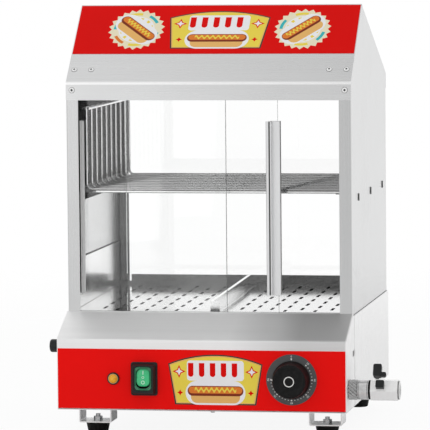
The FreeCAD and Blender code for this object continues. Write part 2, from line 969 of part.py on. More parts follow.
def heating_element():
    z = tank_bottom + element_rise
    start = tank_front_wall() - element_tail
    back = tank_rear - tank_rim - element_rear_gap
    x = element_half_spread
    points = [V(-x, start, z), V(-x, back, z), V(x, back, z), V(x, start, z)]
    return tube(points, [element_bend, element_bend], element_radius)


def tank_glands():
    glands = []
    for spot, radius in gland_spots():
        for start in (spot.y - gland_length, spot.y + sheet):
            centre = V(spot.x, start, spot.z)
            nut = hexagon_solid(centre, V(0, 0, 1), V(0, 1, 0), V(1, 0, 0), gland_length, gland_flats)
            glands.append(nut.cut(rod(centre - V(0, overrun, 0), V(0, 1, 0), gland_length + 2 * overrun,
                                      radius + gland_gap)))
    return group(glands)


def level_probe():
    start = V(-probe_offset, tank_front_wall() - probe_tail, tank_bottom + probe_rise)
    tip = start + V(0, probe_tail + probe_length, 0)
    return joined([rod(start, V(0, 1, 0), probe_tail + probe_length, probe_radius),
                   Part.makeSphere(probe_radius, tip)])


def thermostat_bulb():
    wall = tank_front_wall()
    z = tank_bottom + bulb_rise
    neck = wall - gland_length
    bulb = rod(V(bulb_offset, neck, z), V(0, 1, 0), bulb_length, bulb_radius)
    rear = front_face + base_sheet + thermostat_depth
    points = [
        V(bulb_offset, neck, z),
        V(bulb_offset, rear + capillary_run, z),
        V(dial_offset, rear + capillary_run, dial_z),
        V(dial_offset, rear, dial_z),
    ]
    return joined([bulb, tube(points, [capillary_bend, capillary_bend], capillary_radius)])


def steam_tray():
    side = liner_face - tray_side_gap
    front = tank_front_setback
    back = tank_rear
    rim_bottom = tank_flange_top + close_gap
    outline = [(front, rim_bottom), (front, tray_height(front)), (back, tray_height(back)),
               (back, rim_bottom)]
    tray = outline_solid(outline, yz_at(-side), V(2 * side, 0, 0))
    near, far = front + tray_sheet, back - tray_sheet
    hollow = [(near, rim_bottom - overrun), (near, tray_height(near) - tray_sheet),
              (far, tray_height(far) - tray_sheet), (far, rim_bottom - overrun)]
    inner = outline_solid(hollow, yz_at(tray_sheet - side), V(2 * (side - tray_sheet), 0, 0))
    tray = tray.cut(inner)
    cutters = []
    for row in range(slot_rows):
        x = inner_half - slot_wall_inset - row * slot_row_pitch
        start = tank_front_setback + slot_first_inset - (row % 2) * slot_pitch / 2
        for step in range(slots_per_row):
            cutter = tray_slot(x, start + step * slot_pitch)
            cutters.append(cutter)
            cutters.append(mirrored(cutter))
    return tray.cut(group(cutters))


def tray_height(y):
    return tray_top + (y - tank_front_setback) * tray_slope_share


def tray_slot(x, middle):
    radius = slot_width / 2
    start = max(middle - slot_length / 2, tank_front_setback + slot_front_margin)
    straight = (middle + slot_length / 2 - start) / 2 - radius
    y = start + radius + straight
    low = tray_height(y) - tray_sheet - overrun
    a, b = V(x - radius, y - straight, low), V(x - radius, y + straight, low)
    c, d = V(x + radius, y + straight, low), V(x + radius, y - straight, low)
    back = Part.Arc(b, V(x, y + straight + radius, low), c).toShape()
    front = Part.Arc(d, V(x, y - straight - radius, low), a).toShape()
    sides = [Part.LineSegment(a, b).toShape(), Part.LineSegment(c, d).toShape()]
    wire = Part.Wire([sides[0], back, sides[1], front])
    return Part.Face(wire).extrude(V(0, 0, tray_sheet + 2 * overrun))


def divider():
    x = -divider_offset
    front = tank_front_setback + divider_end_gap
    back = tank_rear - divider_end_gap
    t = tray_sheet

    def strip(x0, x1, low, high):
        outline = [(front, tray_height(front) + low), (front, tray_height(front) + high),
                   (back, tray_height(back) + high), (back, tray_height(back) + low)]
        return outline_solid(outline, yz_at(x0), V(x1 - x0, 0, 0))

    wall = strip(x - t, x, 0, divider_height)
    foot = strip(x - t, x + divider_foot, 0, t)
    hem = strip(x - t, x + divider_hem - t, divider_height - t, divider_height)
    base = tray_height(front)
    tab = box(x - t, x + divider_tab_width, front, front + t, base + t / 2, base + divider_tab_height)
    corner = lambda middle: middle.x > x and middle.z > base + divider_tab_height / 2
    tab = rounded_along(tab, V(0, 1, 0), divider_tab_round, corner)
    return joined([wall, foot, hem, tab])


def rack_support_right():
    back = cabinet_depth - rack_support_rear_gap
    leg = box(inner_half - rack_support_leg, inner_half, rack_support_front, back, rack_seat - sheet,
              rack_seat)
    wall = box(inner_half - sheet, inner_half, rack_support_front, back, rack_seat - rack_support_drop,
               rack_seat)
    shapes = [leg, wall]
    for y in hook_places():
        top = rack_seat - hook_drop
        shapes.append(box(inner_half - sheet, half_width + hook_proud, y - hook_thickness / 2,
                          y + hook_thickness / 2, top - hook_height, top))
    return joined(shapes)


def bun_rack_wires():
    pitch = (rack_back - rack_front_setback) / (rack_wire_count - 1)
    wires = []
    for step in range(rack_wire_count):
        y = rack_front_setback + step * pitch
        points = [
            V(rack_left, y, rack_top),
            V(rack_left, y, rack_wire_z),
            V(rack_right, y, rack_wire_z),
            V(rack_right, y, rack_top),
        ]
        wires.append(tube(points, [rack_bend, rack_bend], rack_wire_radius))
    return group(wires + rack_rails())


def rack_rails():
    rails = []
    reach = rack_wire_radius + rack_frame_radius - weld_depth
    start = rack_front_setback - rack_frame_radius
    length = rack_back - rack_front_setback + 2 * rack_frame_radius
    for x in (rack_left - reach, rack_left + reach, rack_right - reach, rack_right + reach):
        rails.append(rod(V(x, start, rack_top - rack_frame_radius), V(0, 1, 0), length,
                         rack_frame_radius))
    return rails


def bun_rack_frame():
    left, right = rack_left + rack_frame_inset, rack_right - rack_frame_inset
    front, back = rack_front_setback + rack_frame_end_inset, rack_back - rack_frame_end_inset
    z = rack_frame_z
    middle = (left + right) / 2
    points = [V(middle, front, z), V(right, front, z), V(right, back, z), V(left, back, z),
              V(left, front, z), V(middle, front, z)]
    return tube(points, [rack_frame_corner] * 4, rack_frame_radius)


def right_door_glass_left():
    closed_edge = inner_half - door_side_gap - handle_overhang - door_width
    return closed_edge - right_door_open


def left_door_glass_left():
    return -(inner_half - door_side_gap - handle_overhang)


def door_glass_right():
    x = right_door_glass_left()
    return chamfered_pane(x, x + door_width, front_glass_y, glass_bottom, glass_top)


def door_glass_left():
    x = left_door_glass_left()
    return chamfered_pane(x, x + door_width, rear_door_glass_y, glass_bottom, glass_top)


# The handle's section: x runs from the finger lip to the outer edge, y from the glass's front face
def handle_section():
    bite = handle_width - handle_overhang
    fin_start = handle_lip_width - handle_fin_wall
    lip_back = -handle_reach + handle_fin_wall
    groove_end = handle_groove_start + handle_groove_width
    groove_bottom = -handle_reach + handle_groove_depth
    channel_end = handle_lip_width + handle_channel_width
    channel_bottom = handle_channel_depth - handle_front_wall
    return [
        (0, -handle_reach),
        (handle_groove_start, -handle_reach),
        (handle_groove_start, groove_bottom),
        (groove_end, groove_bottom),
        (groove_end, -handle_reach),
        (handle_lip_width, -handle_reach),
        (handle_lip_width, channel_bottom),
        (channel_end, channel_bottom),
        (channel_end, -handle_front_wall),
        (handle_width, -handle_front_wall),
        (handle_width, glass_thickness + handle_back_wall),
        (fin_start, glass_thickness + handle_back_wall),
        (fin_start, glass_thickness),
        (bite, glass_thickness),
        (bite, 0),
        (fin_start, 0),
        (fin_start, lip_back),
        (0, lip_back),
    ]


def handle_prism():
    return outline_solid(handle_section(), xy_at(sill_z + handle_rise), V(0, 0, handle_length))


def door_handle_right():
    handle = handle_prism()
    edge = right_door_glass_left() + door_width
    handle.translate(V(edge + handle_overhang - handle_width, front_glass_y, 0))
    return handle


def door_handle_left():
    handle = handle_prism()
    edge = -left_door_glass_left()
    handle.translate(V(edge + handle_overhang - handle_width, rear_door_glass_y, 0))
    return mirrored(handle)


def sign_panel():
    top = slope_run - sign_top_gap
    low = top - sign_width_along_slope
    half = half_width - sign_side_gap
    corners = []
    for distance, outward in ((low, sheet), (top, sheet), (top, sheet + panel_sheet),
                              (low, sheet + panel_sheet)):
        corners.append(slope_point(-half, distance, outward))
    return Part.Face(Part.makePolygon(corners + corners[:1])).extrude(V(2 * half, 0, 0))


def control_panel():
    half = base_half - panel_side_gap
    low = base_bottom + panel_lift
    panel = box(-half, half, panel_face, front_face, low, low + panel_height)
    start = panel_face - overrun
    depth = panel_sheet + 2 * overrun
    panel = panel.cut(rod(V(dial_offset, start, dial_z), V(0, 1, 0), depth, shaft_hole_radius))
    panel = panel.cut(rod(V(-lamp_offset, start, lamp_z), V(0, 1, 0), depth, lamp_tube_radius + hole_gap))
    return panel.cut(switch_opening(start, start + depth))


def dial_plate():
    disc = rod(V(dial_offset, panel_face, dial_z), V(0, -1, 0), dial_thickness, dial_radius)
    return disc.cut(rod(V(dial_offset, panel_face + overrun, dial_z), V(0, -1, 0),
                        dial_thickness + 2 * overrun, shaft_hole_radius))


def thermostat_knob():
    back = knob_front + knob_proud
    forward = V(0, -1, 0)
    body = Part.makeCone(knob_base_radius, knob_face_radius, knob_proud, V(dial_offset, back, dial_z),
                         forward)
    rim = [edge for edge in body.Edges if abs(edge.BoundBox.YMax - knob_front) < edge_slack]
    body = body.makeFillet(knob_edge_round, rim)
    dish = rod(V(dial_offset, knob_front + knob_dish_depth, dial_z), forward, knob_dish_depth + overrun,
               knob_dish_radius)
    hub = rod(V(dial_offset, knob_front + knob_dish_depth, dial_z), forward, knob_dish_depth,
              knob_hub_radius)
    bore = rod(V(dial_offset, back, dial_z), forward, shaft_in_knob, shaft_radius)
    return joined([body.cut(dish), hub]).cut(bore)


def thermostat_shaft():
    back = front_face + base_sheet + shaft_in_body
    tip = knob_front + knob_proud - shaft_in_knob
    return rod(V(dial_offset, back, dial_z), V(0, -1, 0), back - tip, shaft_radius)


def thermostat_body():
    half = thermostat_size / 2
    front = front_face + base_sheet
    body = box(dial_offset - half, dial_offset + half, front, front + thermostat_depth, dial_z - half,
               dial_z + half)
    return body.cut(rod(V(dial_offset, front, dial_z), V(0, 1, 0), shaft_in_body + seat_gap,
                        shaft_radius + shaft_gap))


def switch_ring(half_w, half_t, y0, y1, corner):
    x, z = -switch_offset, switch_z
    block = box(x - half_w, x + half_w, y0, y1, z - half_t, z + half_t)
    return rounded_along(block, V(0, 1, 0), corner)


def switch_bezel():
    half_w, half_t = switch_width / 2, switch_tall / 2
    front = panel_face - switch_proud
    flange = switch_ring(half_w, half_t, panel_face - switch_flange, panel_face, switch_corner)
    sections = []
    for inset, y in ((switch_shoulder_inset, panel_face - switch_flange), (switch_top_inset, front)):
        w, t = half_w - inset, half_t - inset
        corners = [V(-switch_offset + a * w, y, switch_z + b * t) for a,
                   b in ((-1, -1), (1, -1), (1, 1), (-1, 1))]
        sections.append(Part.makePolygon(corners + corners[:1]))
    hood = Part.makeLoft(sections, True, True)
    window = switch_ring(switch_window_width / 2, switch_window_tall / 2, front - overrun,
                         panel_face + overrun, switch_corner)
    return joined([flange, hood]).cut(window)


def switch_boot():
    front = panel_face - switch_proud + boot_setback
    ring = switch_ring(switch_window_width / 2, switch_window_tall / 2, front, front + boot_thickness,
                       switch_corner)
    hole = switch_ring(boot_opening_width / 2, boot_opening_tall / 2, front - overrun,
                       front + boot_thickness + overrun, switch_corner)
    return ring.cut(hole)


def rocker_pivot():
    return V(-switch_offset, panel_face - switch_proud + boot_setback + rocker_depth, switch_z)


def switch_rocker():
    pivot = rocker_pivot()
    front = pivot.y - rocker_depth - rocker_crown_gap
    half_w, half_t = rocker_width / 2, rocker_tall / 2
    crown = rod(V(pivot.x - half_w, front + rocker_crown_radius, pivot.z), V(1, 0, 0), rocker_width,
                rocker_crown_radius)
    block = box(pivot.x - half_w, pivot.x + half_w, front, pivot.y + rocker_pin_radius, pivot.z - half_t,
                pivot.z + half_t)
    rocker = rounded_along(block, V(0, 1, 0), switch_corner).common(crown)
    pin_half = half_w + rocker_side_gap + rocker_pin_length
    pin = rod(V(pivot.x - pin_half, pivot.y, pivot.z), V(1, 0, 0), 2 * pin_half, rocker_pin_radius)
    rocker = joined([rocker, pin])
    rocker.rotate(pivot, V(1, 0, 0), -rocker_tilt)
    return rocker


def switch_housing():
    half_w, half_t = housing_width / 2, housing_tall / 2
    x, z = -switch_offset, switch_z
    body = box(x - half_w, x + half_w, panel_face, front_face + housing_depth, z - half_t, z + half_t)
    pocket_w, pocket_t = rocker_width / 2 + rocker_side_gap, housing_tall / 2 - base_sheet
    pivot = rocker_pivot()
    pocket = box(x - pocket_w, x + pocket_w, panel_face - overrun, pivot.y + 2 * rocker_pin_radius,
                 z - pocket_t, z + pocket_t)
    reach = pocket_w + rocker_pin_length + seat_gap
    bearing = rod(V(x - reach, pivot.y, z), V(1, 0, 0), 2 * reach, rocker_pin_radius + shaft_gap)
    return body.cut(pocket).cut(bearing)


def lamp_bezel():
    x = -lamp_offset
    ring = rod(V(x, panel_face, lamp_z), V(0, -1, 0), lamp_ring_proud, lamp_ring_radius)
    pipe = rod(V(x, panel_face, lamp_z), V(0, 1, 0), lamp_tube_depth, lamp_tube_radius)
    bore = rod(V(x, panel_face - lamp_ring_proud - overrun, lamp_z), V(0, 1, 0),
               lamp_tube_depth + lamp_ring_proud + overrun - base_sheet, lamp_lens_radius)
    return joined([ring, pipe]).cut(bore)


def lamp_lens():
    tip = panel_face - lamp_lens_proud
    back = panel_face + lamp_tube_depth - 2 * base_sheet
    body = rod(V(-lamp_offset, back, lamp_z), V(0, -1, 0), back - tip, lamp_lens_radius)
    rim = [edge for edge in body.Edges if abs(edge.BoundBox.YMax - tip) < edge_slack]
    return body.makeFillet(lamp_lens_round, rim)


def reset_cutout():
    half = reset_body_size / 2
    body = box(-half_width, -half_width + reset_body_depth, reset_y - half, reset_y + half,
               reset_z - half, reset_z + half)
    neck_tip = cap_rim_x + reset_hollow - reset_travel_room
    neck = rod(V(-half_width, reset_y, reset_z), V(-1, 0, 0), neck_tip - half_width, reset_neck_radius)
    return joined([body, neck])


def reset_button():
    outward = V(-1, 0, 0)
    start = V(-cap_rim_x, reset_y, reset_z)
    skirt = rod(start, outward, reset_skirt, reset_button_radius)
    dome = Part.makeSphere(reset_button_radius, start + outward * reset_skirt)
    dome = dome.common(box(-button_tip - overrun, -cap_rim_x - reset_skirt, reset_y - reset_body_size,
                           reset_y + reset_body_size,
                           reset_z - reset_body_size, reset_z + reset_body_size))
    hollow = rod(start + V(overrun, 0, 0), outward, reset_hollow + overrun, reset_neck_radius + reset_gap)
    return joined([skirt, dome]).cut(hollow)


def drain_pipe():
    mouth = drain_mouth()
    points = [mouth, V(mouth.x, mouth.y, valve_z), V(mouth.x, valve_y, valve_z),
              V(sleeve_end, valve_y, valve_z)]
    bends = [pipe_drop_bend, pipe_bend]
    outer = tube(points, bends, pipe_radius)
    return outer.cut(tube(points, bends, pipe_bore))


def valve_line(x, length, radius):
    return rod(V(x, valve_y, valve_z), V(1, 0, 0), length, radius)


def drain_nut():
    nut = hexagon_solid(V(base_half, valve_y, valve_z), V(0, 0, 1), V(1, 0, 0), V(0, 1, 0),
                        pipe_nut_length, pipe_nut_flats)
    return nut.cut(valve_line(base_half - overrun, pipe_nut_length + 2 * overrun, pipe_radius))


def drain_sleeve():
    return valve_line(nut_end, sleeve_length, sleeve_radius).cut(valve_line(nut_end - overrun,
                                                                            sleeve_length + 2 * overrun,
                                                                            pipe_radius))


def drain_seal():
    return valve_line(sleeve_end, seal_length,
                      seal_radius).cut(valve_line(sleeve_end - overrun, seal_length + 2 * overrun,
                                                  pipe_bore))


def valve_spot(x, up, out):
    return stem_origin + V(x, 0, 0) + lever_up * up + stem_out * out


def valve_block(x0, x1, up0, up1, out0, out1):
    # a block with its sides along the pipe, the lever and the stem
    corners = [valve_spot(x0, up0, out0), valve_spot(x1, up0, out0), valve_spot(x1, up1, out0),
               valve_spot(x0, up1, out0)]
    return Part.Face(Part.makePolygon(corners + corners[:1])).extrude(stem_out * (out1 - out0))


def valve_body():
    body = hexagon_solid(V(valve_start, valve_y, valve_z), V(0, -1, 0), V(1, 0, 0), V(0, 0, 1),
                         valve_length, valve_flats)
    end = valve_line(valve_start + valve_length, valve_end_length, valve_end_radius)
    body = joined([body, end])
    body = body.cut(valve_line(valve_start - overrun, valve_length, pipe_bore))
    body = body.cut(valve_line(valve_end - outlet_depth, outlet_depth + overrun, outlet_bore))
    body = body.cut(Part.makeSphere(ball_radius + ball_gap, stem_origin))
    return body.cut(rod(stem_origin, stem_out, valve_flat + overrun, stem_radius + stem_gap))


def valve_stem():
    start = ball_radius - stem_bury
    return rod(stem_origin + stem_out * start, stem_out, stem_length, stem_radius)


def valve_ball():
    ball = Part.makeSphere(ball_radius, stem_origin)
    bore = rod(stem_origin - lever_up * (2 * ball_radius), lever_up, 4 * ball_radius, ball_bore)
    return ball.cut(bore).cut(valve_stem())


def valve_lever():
    half_w, half_t = hub_width / 2, hub_tall / 2
    head = valve_block(-half_w, half_w, -half_t, half_t, plate_base, plate_base + lever_thickness)
    neck = valve_block(-lever_neck_offset - lever_neck_width / 2,
                       -lever_neck_offset + lever_neck_width / 2,
                       0, lever_length, plate_base, plate_base + lever_thickness)
    return joined([head, neck]).cut(valve_stem())


def lever_grip():
    half_w, half_t = hub_width / 2, hub_tall / 2
    hub = valve_block(-half_w, half_w, -half_t, half_t, plate_base + lever_thickness,
                      plate_base + lever_thickness + hub_height)
    hub = rounded_along(hub, stem_out, grip_round)
    grip_mid = -lever_neck_offset
    low = plate_base - lever_lift / 2
    grip = valve_block(grip_mid - grip_width / 2, grip_mid + grip_width / 2, grip_start,
                       grip_start + grip_length, low, low + grip_depth)
    grip = rounded_along(grip, stem_out, grip_round)
    lug_x = grip_mid + grip_width / 2
    lug = valve_block(lug_x - grip_round, lug_x + lug_width, lug_start, lug_start + lug_length,
                      low + grip_round, low + grip_round + lug_depth)
    outer = lambda middle: middle.x > stem_origin.x + lug_x
    lug = rounded_along(lug, stem_out, lug_round, outer)
    handle = joined([grip, lug])
    return group([hub.cut(valve_stem()), handle.cut(valve_lever())])


def foot_spots():
    spots = []
    for y in (front_foot_y, rear_foot_y):
        for x in (-foot_x, foot_x):
            spots.append(V(x, y, 0))
    return spots


def foot_brackets():
    inner = bracket_width / 2 - bracket_sheet
    reach = inner + bracket_sheet + bracket_flange
    floor = rubber_height + bracket_sheet
    path = [(-reach, base_bottom), (-inner, base_bottom), (-inner, floor), (inner, floor),
            (inner, base_bottom), (reach, base_bottom)]
    brackets = []
    for spot in foot_spots():
        bracket = bent_sheet(path, -bracket_sheet, inner_bend, xz_at(-bracket_depth / 2),
                             V(0, bracket_depth, 0))
        bracket = bracket.cut(rod(V(0, 0, rubber_height - overrun), V(0, 0, 1),
                                  bracket_sheet + 2 * overrun, stud_radius + hole_gap))
        bracket.translate(spot)
        brackets.append(bracket)
    return group(brackets)


def rubber_feet():
    feet = []
    for spot in foot_spots():
        foot = Part.makeCone(rubber_foot_radius, rubber_top_radius, rubber_height, spot)
        low = [edge for edge in foot.Edges if abs(edge.BoundBox.ZMax) < edge_slack]
        foot = foot.makeChamfer(rubber_chamfer, low)
        feet.append(foot.cut(rod(spot + V(0, 0, rubber_height - stud_bury), V(0, 0, 1), stud_bury,
                                 stud_radius)))
    return group(feet)


def foot_studs():
    return group([rod(spot + V(0, 0, rubber_height - stud_bury), V(0, 0, 1), stud_length,
                      stud_radius) for spot in foot_spots()])


def foot_nuts():
    nuts = []
    for spot in foot_spots():
        centre = spot + V(0, 0, rubber_height + bracket_sheet)
        nut = hexagon_solid(centre, V(1, 0, 0), V(0, 0, 1), V(0, 1, 0), nut_height, nut_flats)
        nuts.append(nut.cut(rod(centre - V(0, 0, overrun), V(0, 0, 1), nut_height + 2 * overrun,
                                stud_radius)))
    return group(nuts)


def cord_gland():
    wall = cabinet_depth + base_sheet
    centre = V(gland_offset, wall, gland_z)
    back = V(0, 1, 0)
    flange = hexagon_solid(centre, V(0, 0, 1), back, V(1, 0, 0), gland_hex_length, gland_hex_flats)
    dome = rod(centre + back * gland_hex_length, back, gland_dome_length, gland_dome_radius)
    rim = [edge for edge in dome.Edges if abs(edge.BoundBox.YMin - gland_tip_y) < edge_slack]
    dome = dome.makeFillet(gland_dome_round, rim)
    thread = rod(centre, V(0, -1, 0), gland_thread_length, gland_thread_radius)
    length = gland_thread_length + gland_hex_length + gland_dome_length
    bore = rod(centre - back * (gland_thread_length + overrun), back, length + 2 * overrun, gland_bore)
    return joined([flange, dome, thread]).cut(bore)


nodes = {
    "console_shell": console_shell,
    "base_casing": base_casing,
    "base_plate": base_plate,
    "base_screws": base_screws,
    "side_panel_left": lambda: mirrored(side_panel_right()),
    "side_panel_right": side_panel_right,
    "canopy": canopy,
    "roof_rear": roof_rear,
    "front_brace": front_brace,
    "canopy_rivets": canopy_rivets,
    "sill_beam": sill_beam,
    "bottom_track": bottom_track,
    "top_track": top_track,
    "rear_sill": rear_sill,
    "rear_glass": rear_glass,
    "rear_glass_beads": rear_glass_beads,
    "side_liner_left": lambda: mirrored(side_liner_right()),
    "side_liner_right": side_liner_right,
    "water_tank": water_tank,
    "heating_element": heating_element,
    "tank_glands": tank_glands,
    "level_probe": level_probe,
    "thermostat_bulb": thermostat_bulb,
    "steam_tray": steam_tray,
    "divider": divider,
    "rack_support_left": lambda: mirrored(rack_support_right()),
    "rack_support_right": rack_support_right,
    "bun_rack_wires": bun_rack_wires,
    "bun_rack_frame": bun_rack_frame,
    "door_glass_left": door_glass_left,
    "door_glass_right": door_glass_right,
    "door_handle_left": door_handle_left,
    "door_handle_right": door_handle_right,
    "sign_panel": sign_panel,
    "control_panel": control_panel,
    "dial_plate": dial_plate,
    "thermostat_knob": thermostat_knob,
    "thermostat_shaft": thermostat_shaft,
    "thermostat_body": thermostat_body,
    "switch_bezel": switch_bezel,
    "switch_boot": switch_boot,
    "switch_rocker": switch_rocker,
    "switch_housing": switch_housing,
    "lamp_bezel": lamp_bezel,
    "lamp_lens": lamp_lens,
    "reset_cutout": reset_cutout,
    "reset_button": reset_button,
    "drain_pipe": drain_pipe,
    "drain_nut": drain_nut,
    "drain_sleeve": drain_sleeve,
    "drain_seal": drain_seal,
    "valve_body": valve_body,
    "valve_stem": valve_stem,
    "valve_ball": valve_ball,
    "valve_lever": valve_lever,
    "lever_grip": lever_grip,
    "foot_brackets": foot_brackets,
    "rubber_feet": rubber_feet,
    "foot_hardware": lambda: group([foot_studs(), foot_nuts()]),
    "cord_gland": cord_gland,
}

os.makedirs("parts", exist_ok=True)
for name, build in nodes.items():
    shape = build()
    shape.translate(shift)
    shape.exportStep("parts/" + name + ".step")
    print(name, "solids", len(shape.Solids), "valid", shape.isValid())
print("nodes", len(nodes))
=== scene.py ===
import bpy
import bmesh
import math
from mathutils import Matrix, Vector


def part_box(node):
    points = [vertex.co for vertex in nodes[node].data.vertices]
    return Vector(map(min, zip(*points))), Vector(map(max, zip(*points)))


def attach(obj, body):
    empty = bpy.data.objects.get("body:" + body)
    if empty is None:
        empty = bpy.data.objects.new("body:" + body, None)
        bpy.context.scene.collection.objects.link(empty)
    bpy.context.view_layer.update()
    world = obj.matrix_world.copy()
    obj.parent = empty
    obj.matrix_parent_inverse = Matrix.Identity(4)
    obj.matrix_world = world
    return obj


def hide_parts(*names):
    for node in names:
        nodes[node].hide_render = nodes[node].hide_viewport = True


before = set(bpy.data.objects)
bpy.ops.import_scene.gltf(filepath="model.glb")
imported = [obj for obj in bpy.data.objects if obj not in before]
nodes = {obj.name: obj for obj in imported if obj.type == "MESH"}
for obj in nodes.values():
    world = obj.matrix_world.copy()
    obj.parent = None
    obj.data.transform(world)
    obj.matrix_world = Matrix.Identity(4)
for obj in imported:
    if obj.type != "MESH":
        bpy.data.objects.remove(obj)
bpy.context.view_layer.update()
scene = bpy.context.scene
print("frame loaded:", len(nodes), "nodes")

# Places are given in millimetres from the middle of the cabinet's front plane, at floor level
millimetre = 0.001
leftPanel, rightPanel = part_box("side_panel_left"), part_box("side_panel_right")
cabinetOrigin = Vector(((leftPanel[0].x + rightPanel[1].x) / 2, leftPanel[0].y, 0))


def at(x, y, z):
    return cabinetOrigin + Vector((x, y, z)) * millimetre


# Camera: the photograph's viewpoint, fitted to the cabinet's edges
cameraView = {
    "place": (867.09, -4799.44, 673.4),
    "azimuth": 10.143,
    "elevation": 4.558,
    "roll": 0.509,
    "focalPixels": 3800,
    "imagePixels": 430,
    "sensor": 36,
    "clipEnd": 50,
}


def makeCamera(view):
    data = bpy.data.cameras.new("photoCamera")
    camera = bpy.data.objects.new("photoCamera", data)
    scene.collection.objects.link(camera)
    data.sensor_width = view["sensor"]
    data.lens = view["focalPixels"] / view["imagePixels"] * view["sensor"]
    data.clip_end = view["clipEnd"]
    azimuth, elevation, roll = (math.radians(view[k]) for k in ("azimuth", "elevation", "roll"))
    forward = Vector((-math.sin(azimuth) * math.cos(elevation),
                      math.cos(azimuth) * math.cos(elevation), -math.sin(elevation)))
    right = Vector((math.cos(azimuth), math.sin(azimuth), 0))
    up = right.cross(forward)
    imageRight = right * math.cos(roll) - up * math.sin(roll)
    imageUp = right * math.sin(roll) + up * math.cos(roll)
    turn = Matrix((imageRight, imageUp, -forward)).transposed().to_4x4()
    camera.matrix_world = Matrix.Translation(at(*view["place"])) @ turn
    scene.camera = camera


makeCamera(cameraView)
print("camera ready")


def grey(level):
    return level, level, level


def shade(colour, factor):
    return tuple(min(1.0, c * factor) for c in colour)


# What the materials and the surround share when they build their nodes
class NodeTree:
    def __init__(self, tree):
        self.tree = tree
        self.tree.nodes.clear()

    def add(self, kind, **settings):
        node = self.tree.nodes.new(kind)
        for key, value in settings.items():
            setattr(node, key, value)
        return node

    def link(self, source, target):
        self.tree.links.new(source, target)

    def part(self, vector, axis):
        split = self.add("ShaderNodeSeparateXYZ")
        self.link(vector, split.inputs[0])
        return split.outputs[axis]

    def remap(self, value, low, high, outLow=0, outHigh=1, **settings):
        node = self.add("ShaderNodeMapRange", **settings)
        limits = {"From Min": low, "From Max": high, "To Min": outLow, "To Max": outHigh}
        for socket, limit in limits.items():
            node.inputs[socket].default_value = limit
        self.link(value, node.inputs["Value"])
        return node.outputs[0]

    def combine(self, operation, first, second):
        node = self.add("ShaderNodeMath", operation=operation)
        self.link(first, node.inputs[0])
        self.link(second, node.inputs[1])
        return node.outputs[0]

    def blend(self, factor, first, second):
        node = self.add("ShaderNodeMix", data_type="RGBA")
        self.link(factor, node.inputs["Factor"])
        for socket, colour in (("A", first), ("B", second)):
            if isinstance(colour, tuple):
                node.inputs[socket].default_value = (*colour, 1)
            else:
                self.link(colour, node.inputs[socket])
        return node.outputs["Result"]

    # One for rays that the camera sends, also through glass
    def seen(self):
        path = self.add("ShaderNodeLightPath")
        return self.combine("MAXIMUM", path.outputs["Is Camera Ray"], path.outputs["Is Transmission Ray"])


# A Principled shader whose texture is worked out from object coordinates, in metres
class Shader(NodeTree):
    def __init__(self, name):
        self.material = bpy.data.materials.new(name)
        self.material.use_nodes = True
        super().__init__(self.material.node_tree)
        self.output = self.add("ShaderNodeOutputMaterial")
        self.surface = self.add("ShaderNodeBsdfPrincipled")
        self.link(self.surface.outputs[0], self.output.inputs["Surface"])
        self.coordinates = self.add("ShaderNodeTexCoord").outputs["Object"]

    def set(self, **values):
        for key, value in values.items():
            self.surface.inputs[key.replace("_", " ")].default_value = value

    def place(self, scale):
        mapping = self.add("ShaderNodeMapping")
        mapping.inputs["Scale"].default_value = scale
        self.link(self.coordinates, mapping.inputs["Vector"])
        return mapping.outputs[0]

    def along(self, axis):
        return self.part(self.coordinates, axis)

    def facing(self, axis):
        return self.part(self.add("ShaderNodeNewGeometry").outputs["True Normal"], axis)

    def noise(self, scale, detail=2.0, roughness=0.5, stretch=(1, 1, 1)):
        node = self.add("ShaderNodeTexNoise")
        node.inputs["Scale"].default_value = scale
        node.inputs["Detail"].default_value = detail
        node.inputs["Roughness"].default_value = roughness
        self.link(self.place(stretch), node.inputs["Vector"])
        return node.outputs["Fac"]

    # Spreads a noise, most of whose values lie from 0.3 to 0.7, over a range
    def spread(self, noise, outLow=0, outHigh=1):
        return self.remap(noise, 0.3, 0.7, outLow, outHigh)

    # A look's colour and roughness, which a noise moves a little to both sides
    def mottled(self, factor, look):
        darker, lighter = (shade(look["colour"], 1 + side * look["variation"]) for side in (-1, 1))
        return self.blend(factor, darker, lighter)

    def worn(self, noise, look):
        return self.spread(noise, look["roughness"] - look["range"], look["roughness"] + look["range"])

    # One between a stretch of an axis that fades in and a stretch that fades out
    def between(self, axis, fadeIn, fadeOut):
        place = self.along(axis)
        return self.combine("MULTIPLY", self.remap(place, *fadeIn), self.remap(place, *fadeOut, 1, 0))

    # Links colour and roughness, both changed where a grey patch lies; the patches are painted shade and
    # painted highlight
    def coat(self, colour, rough, patches=()):
        for mask, patch in patches:
            cover = mask(self, patch)
            colour = self.blend(cover, colour, grey(patch["level"]))
            if "rougher" in patch:
                rough = self.combine("ADD", rough, self.remap(cover, 0, 1, 0, patch["rougher"]))
        self.link(colour, self.surface.inputs["Base Color"])
        self.link(rough, self.surface.inputs["Roughness"])

    def bump(self, height, strength, relief):
        node = self.add("ShaderNodeBump")
        node.inputs["Strength"].default_value = strength
        node.inputs["Distance"].default_value = relief * millimetre
        self.link(height, node.inputs["Height"])
        self.link(node.outputs[0], self.surface.inputs["Normal"])


materials = {}


def addMaterials(build, usual, looks):
    for name, look in looks.items():
        materials[name] = build(name, {**usual, **look})


# Masks for patches of painted shade and painted highlight. A stripe lies between two places on an axis.
def stripe(s, patch):
    low, high = patch["span"]
    return s.between(patch["axis"], (low - patch["soft"], low), (high, high + patch["soft"]))


# Painted shade below a height
def below(s, patch):
    return s.remap(s.along("Z"), *patch["top"], 1, 0)


# Painted shade on faces at the back that look forward: the inner face of a panel's rear flange
def rearFlange(s, patch):
    forward = s.remap(s.facing("Y"), *patch["forward"], 1, 0)
    return s.combine("MULTIPLY", forward, s.remap(s.along("Y"), *patch["depth"]))
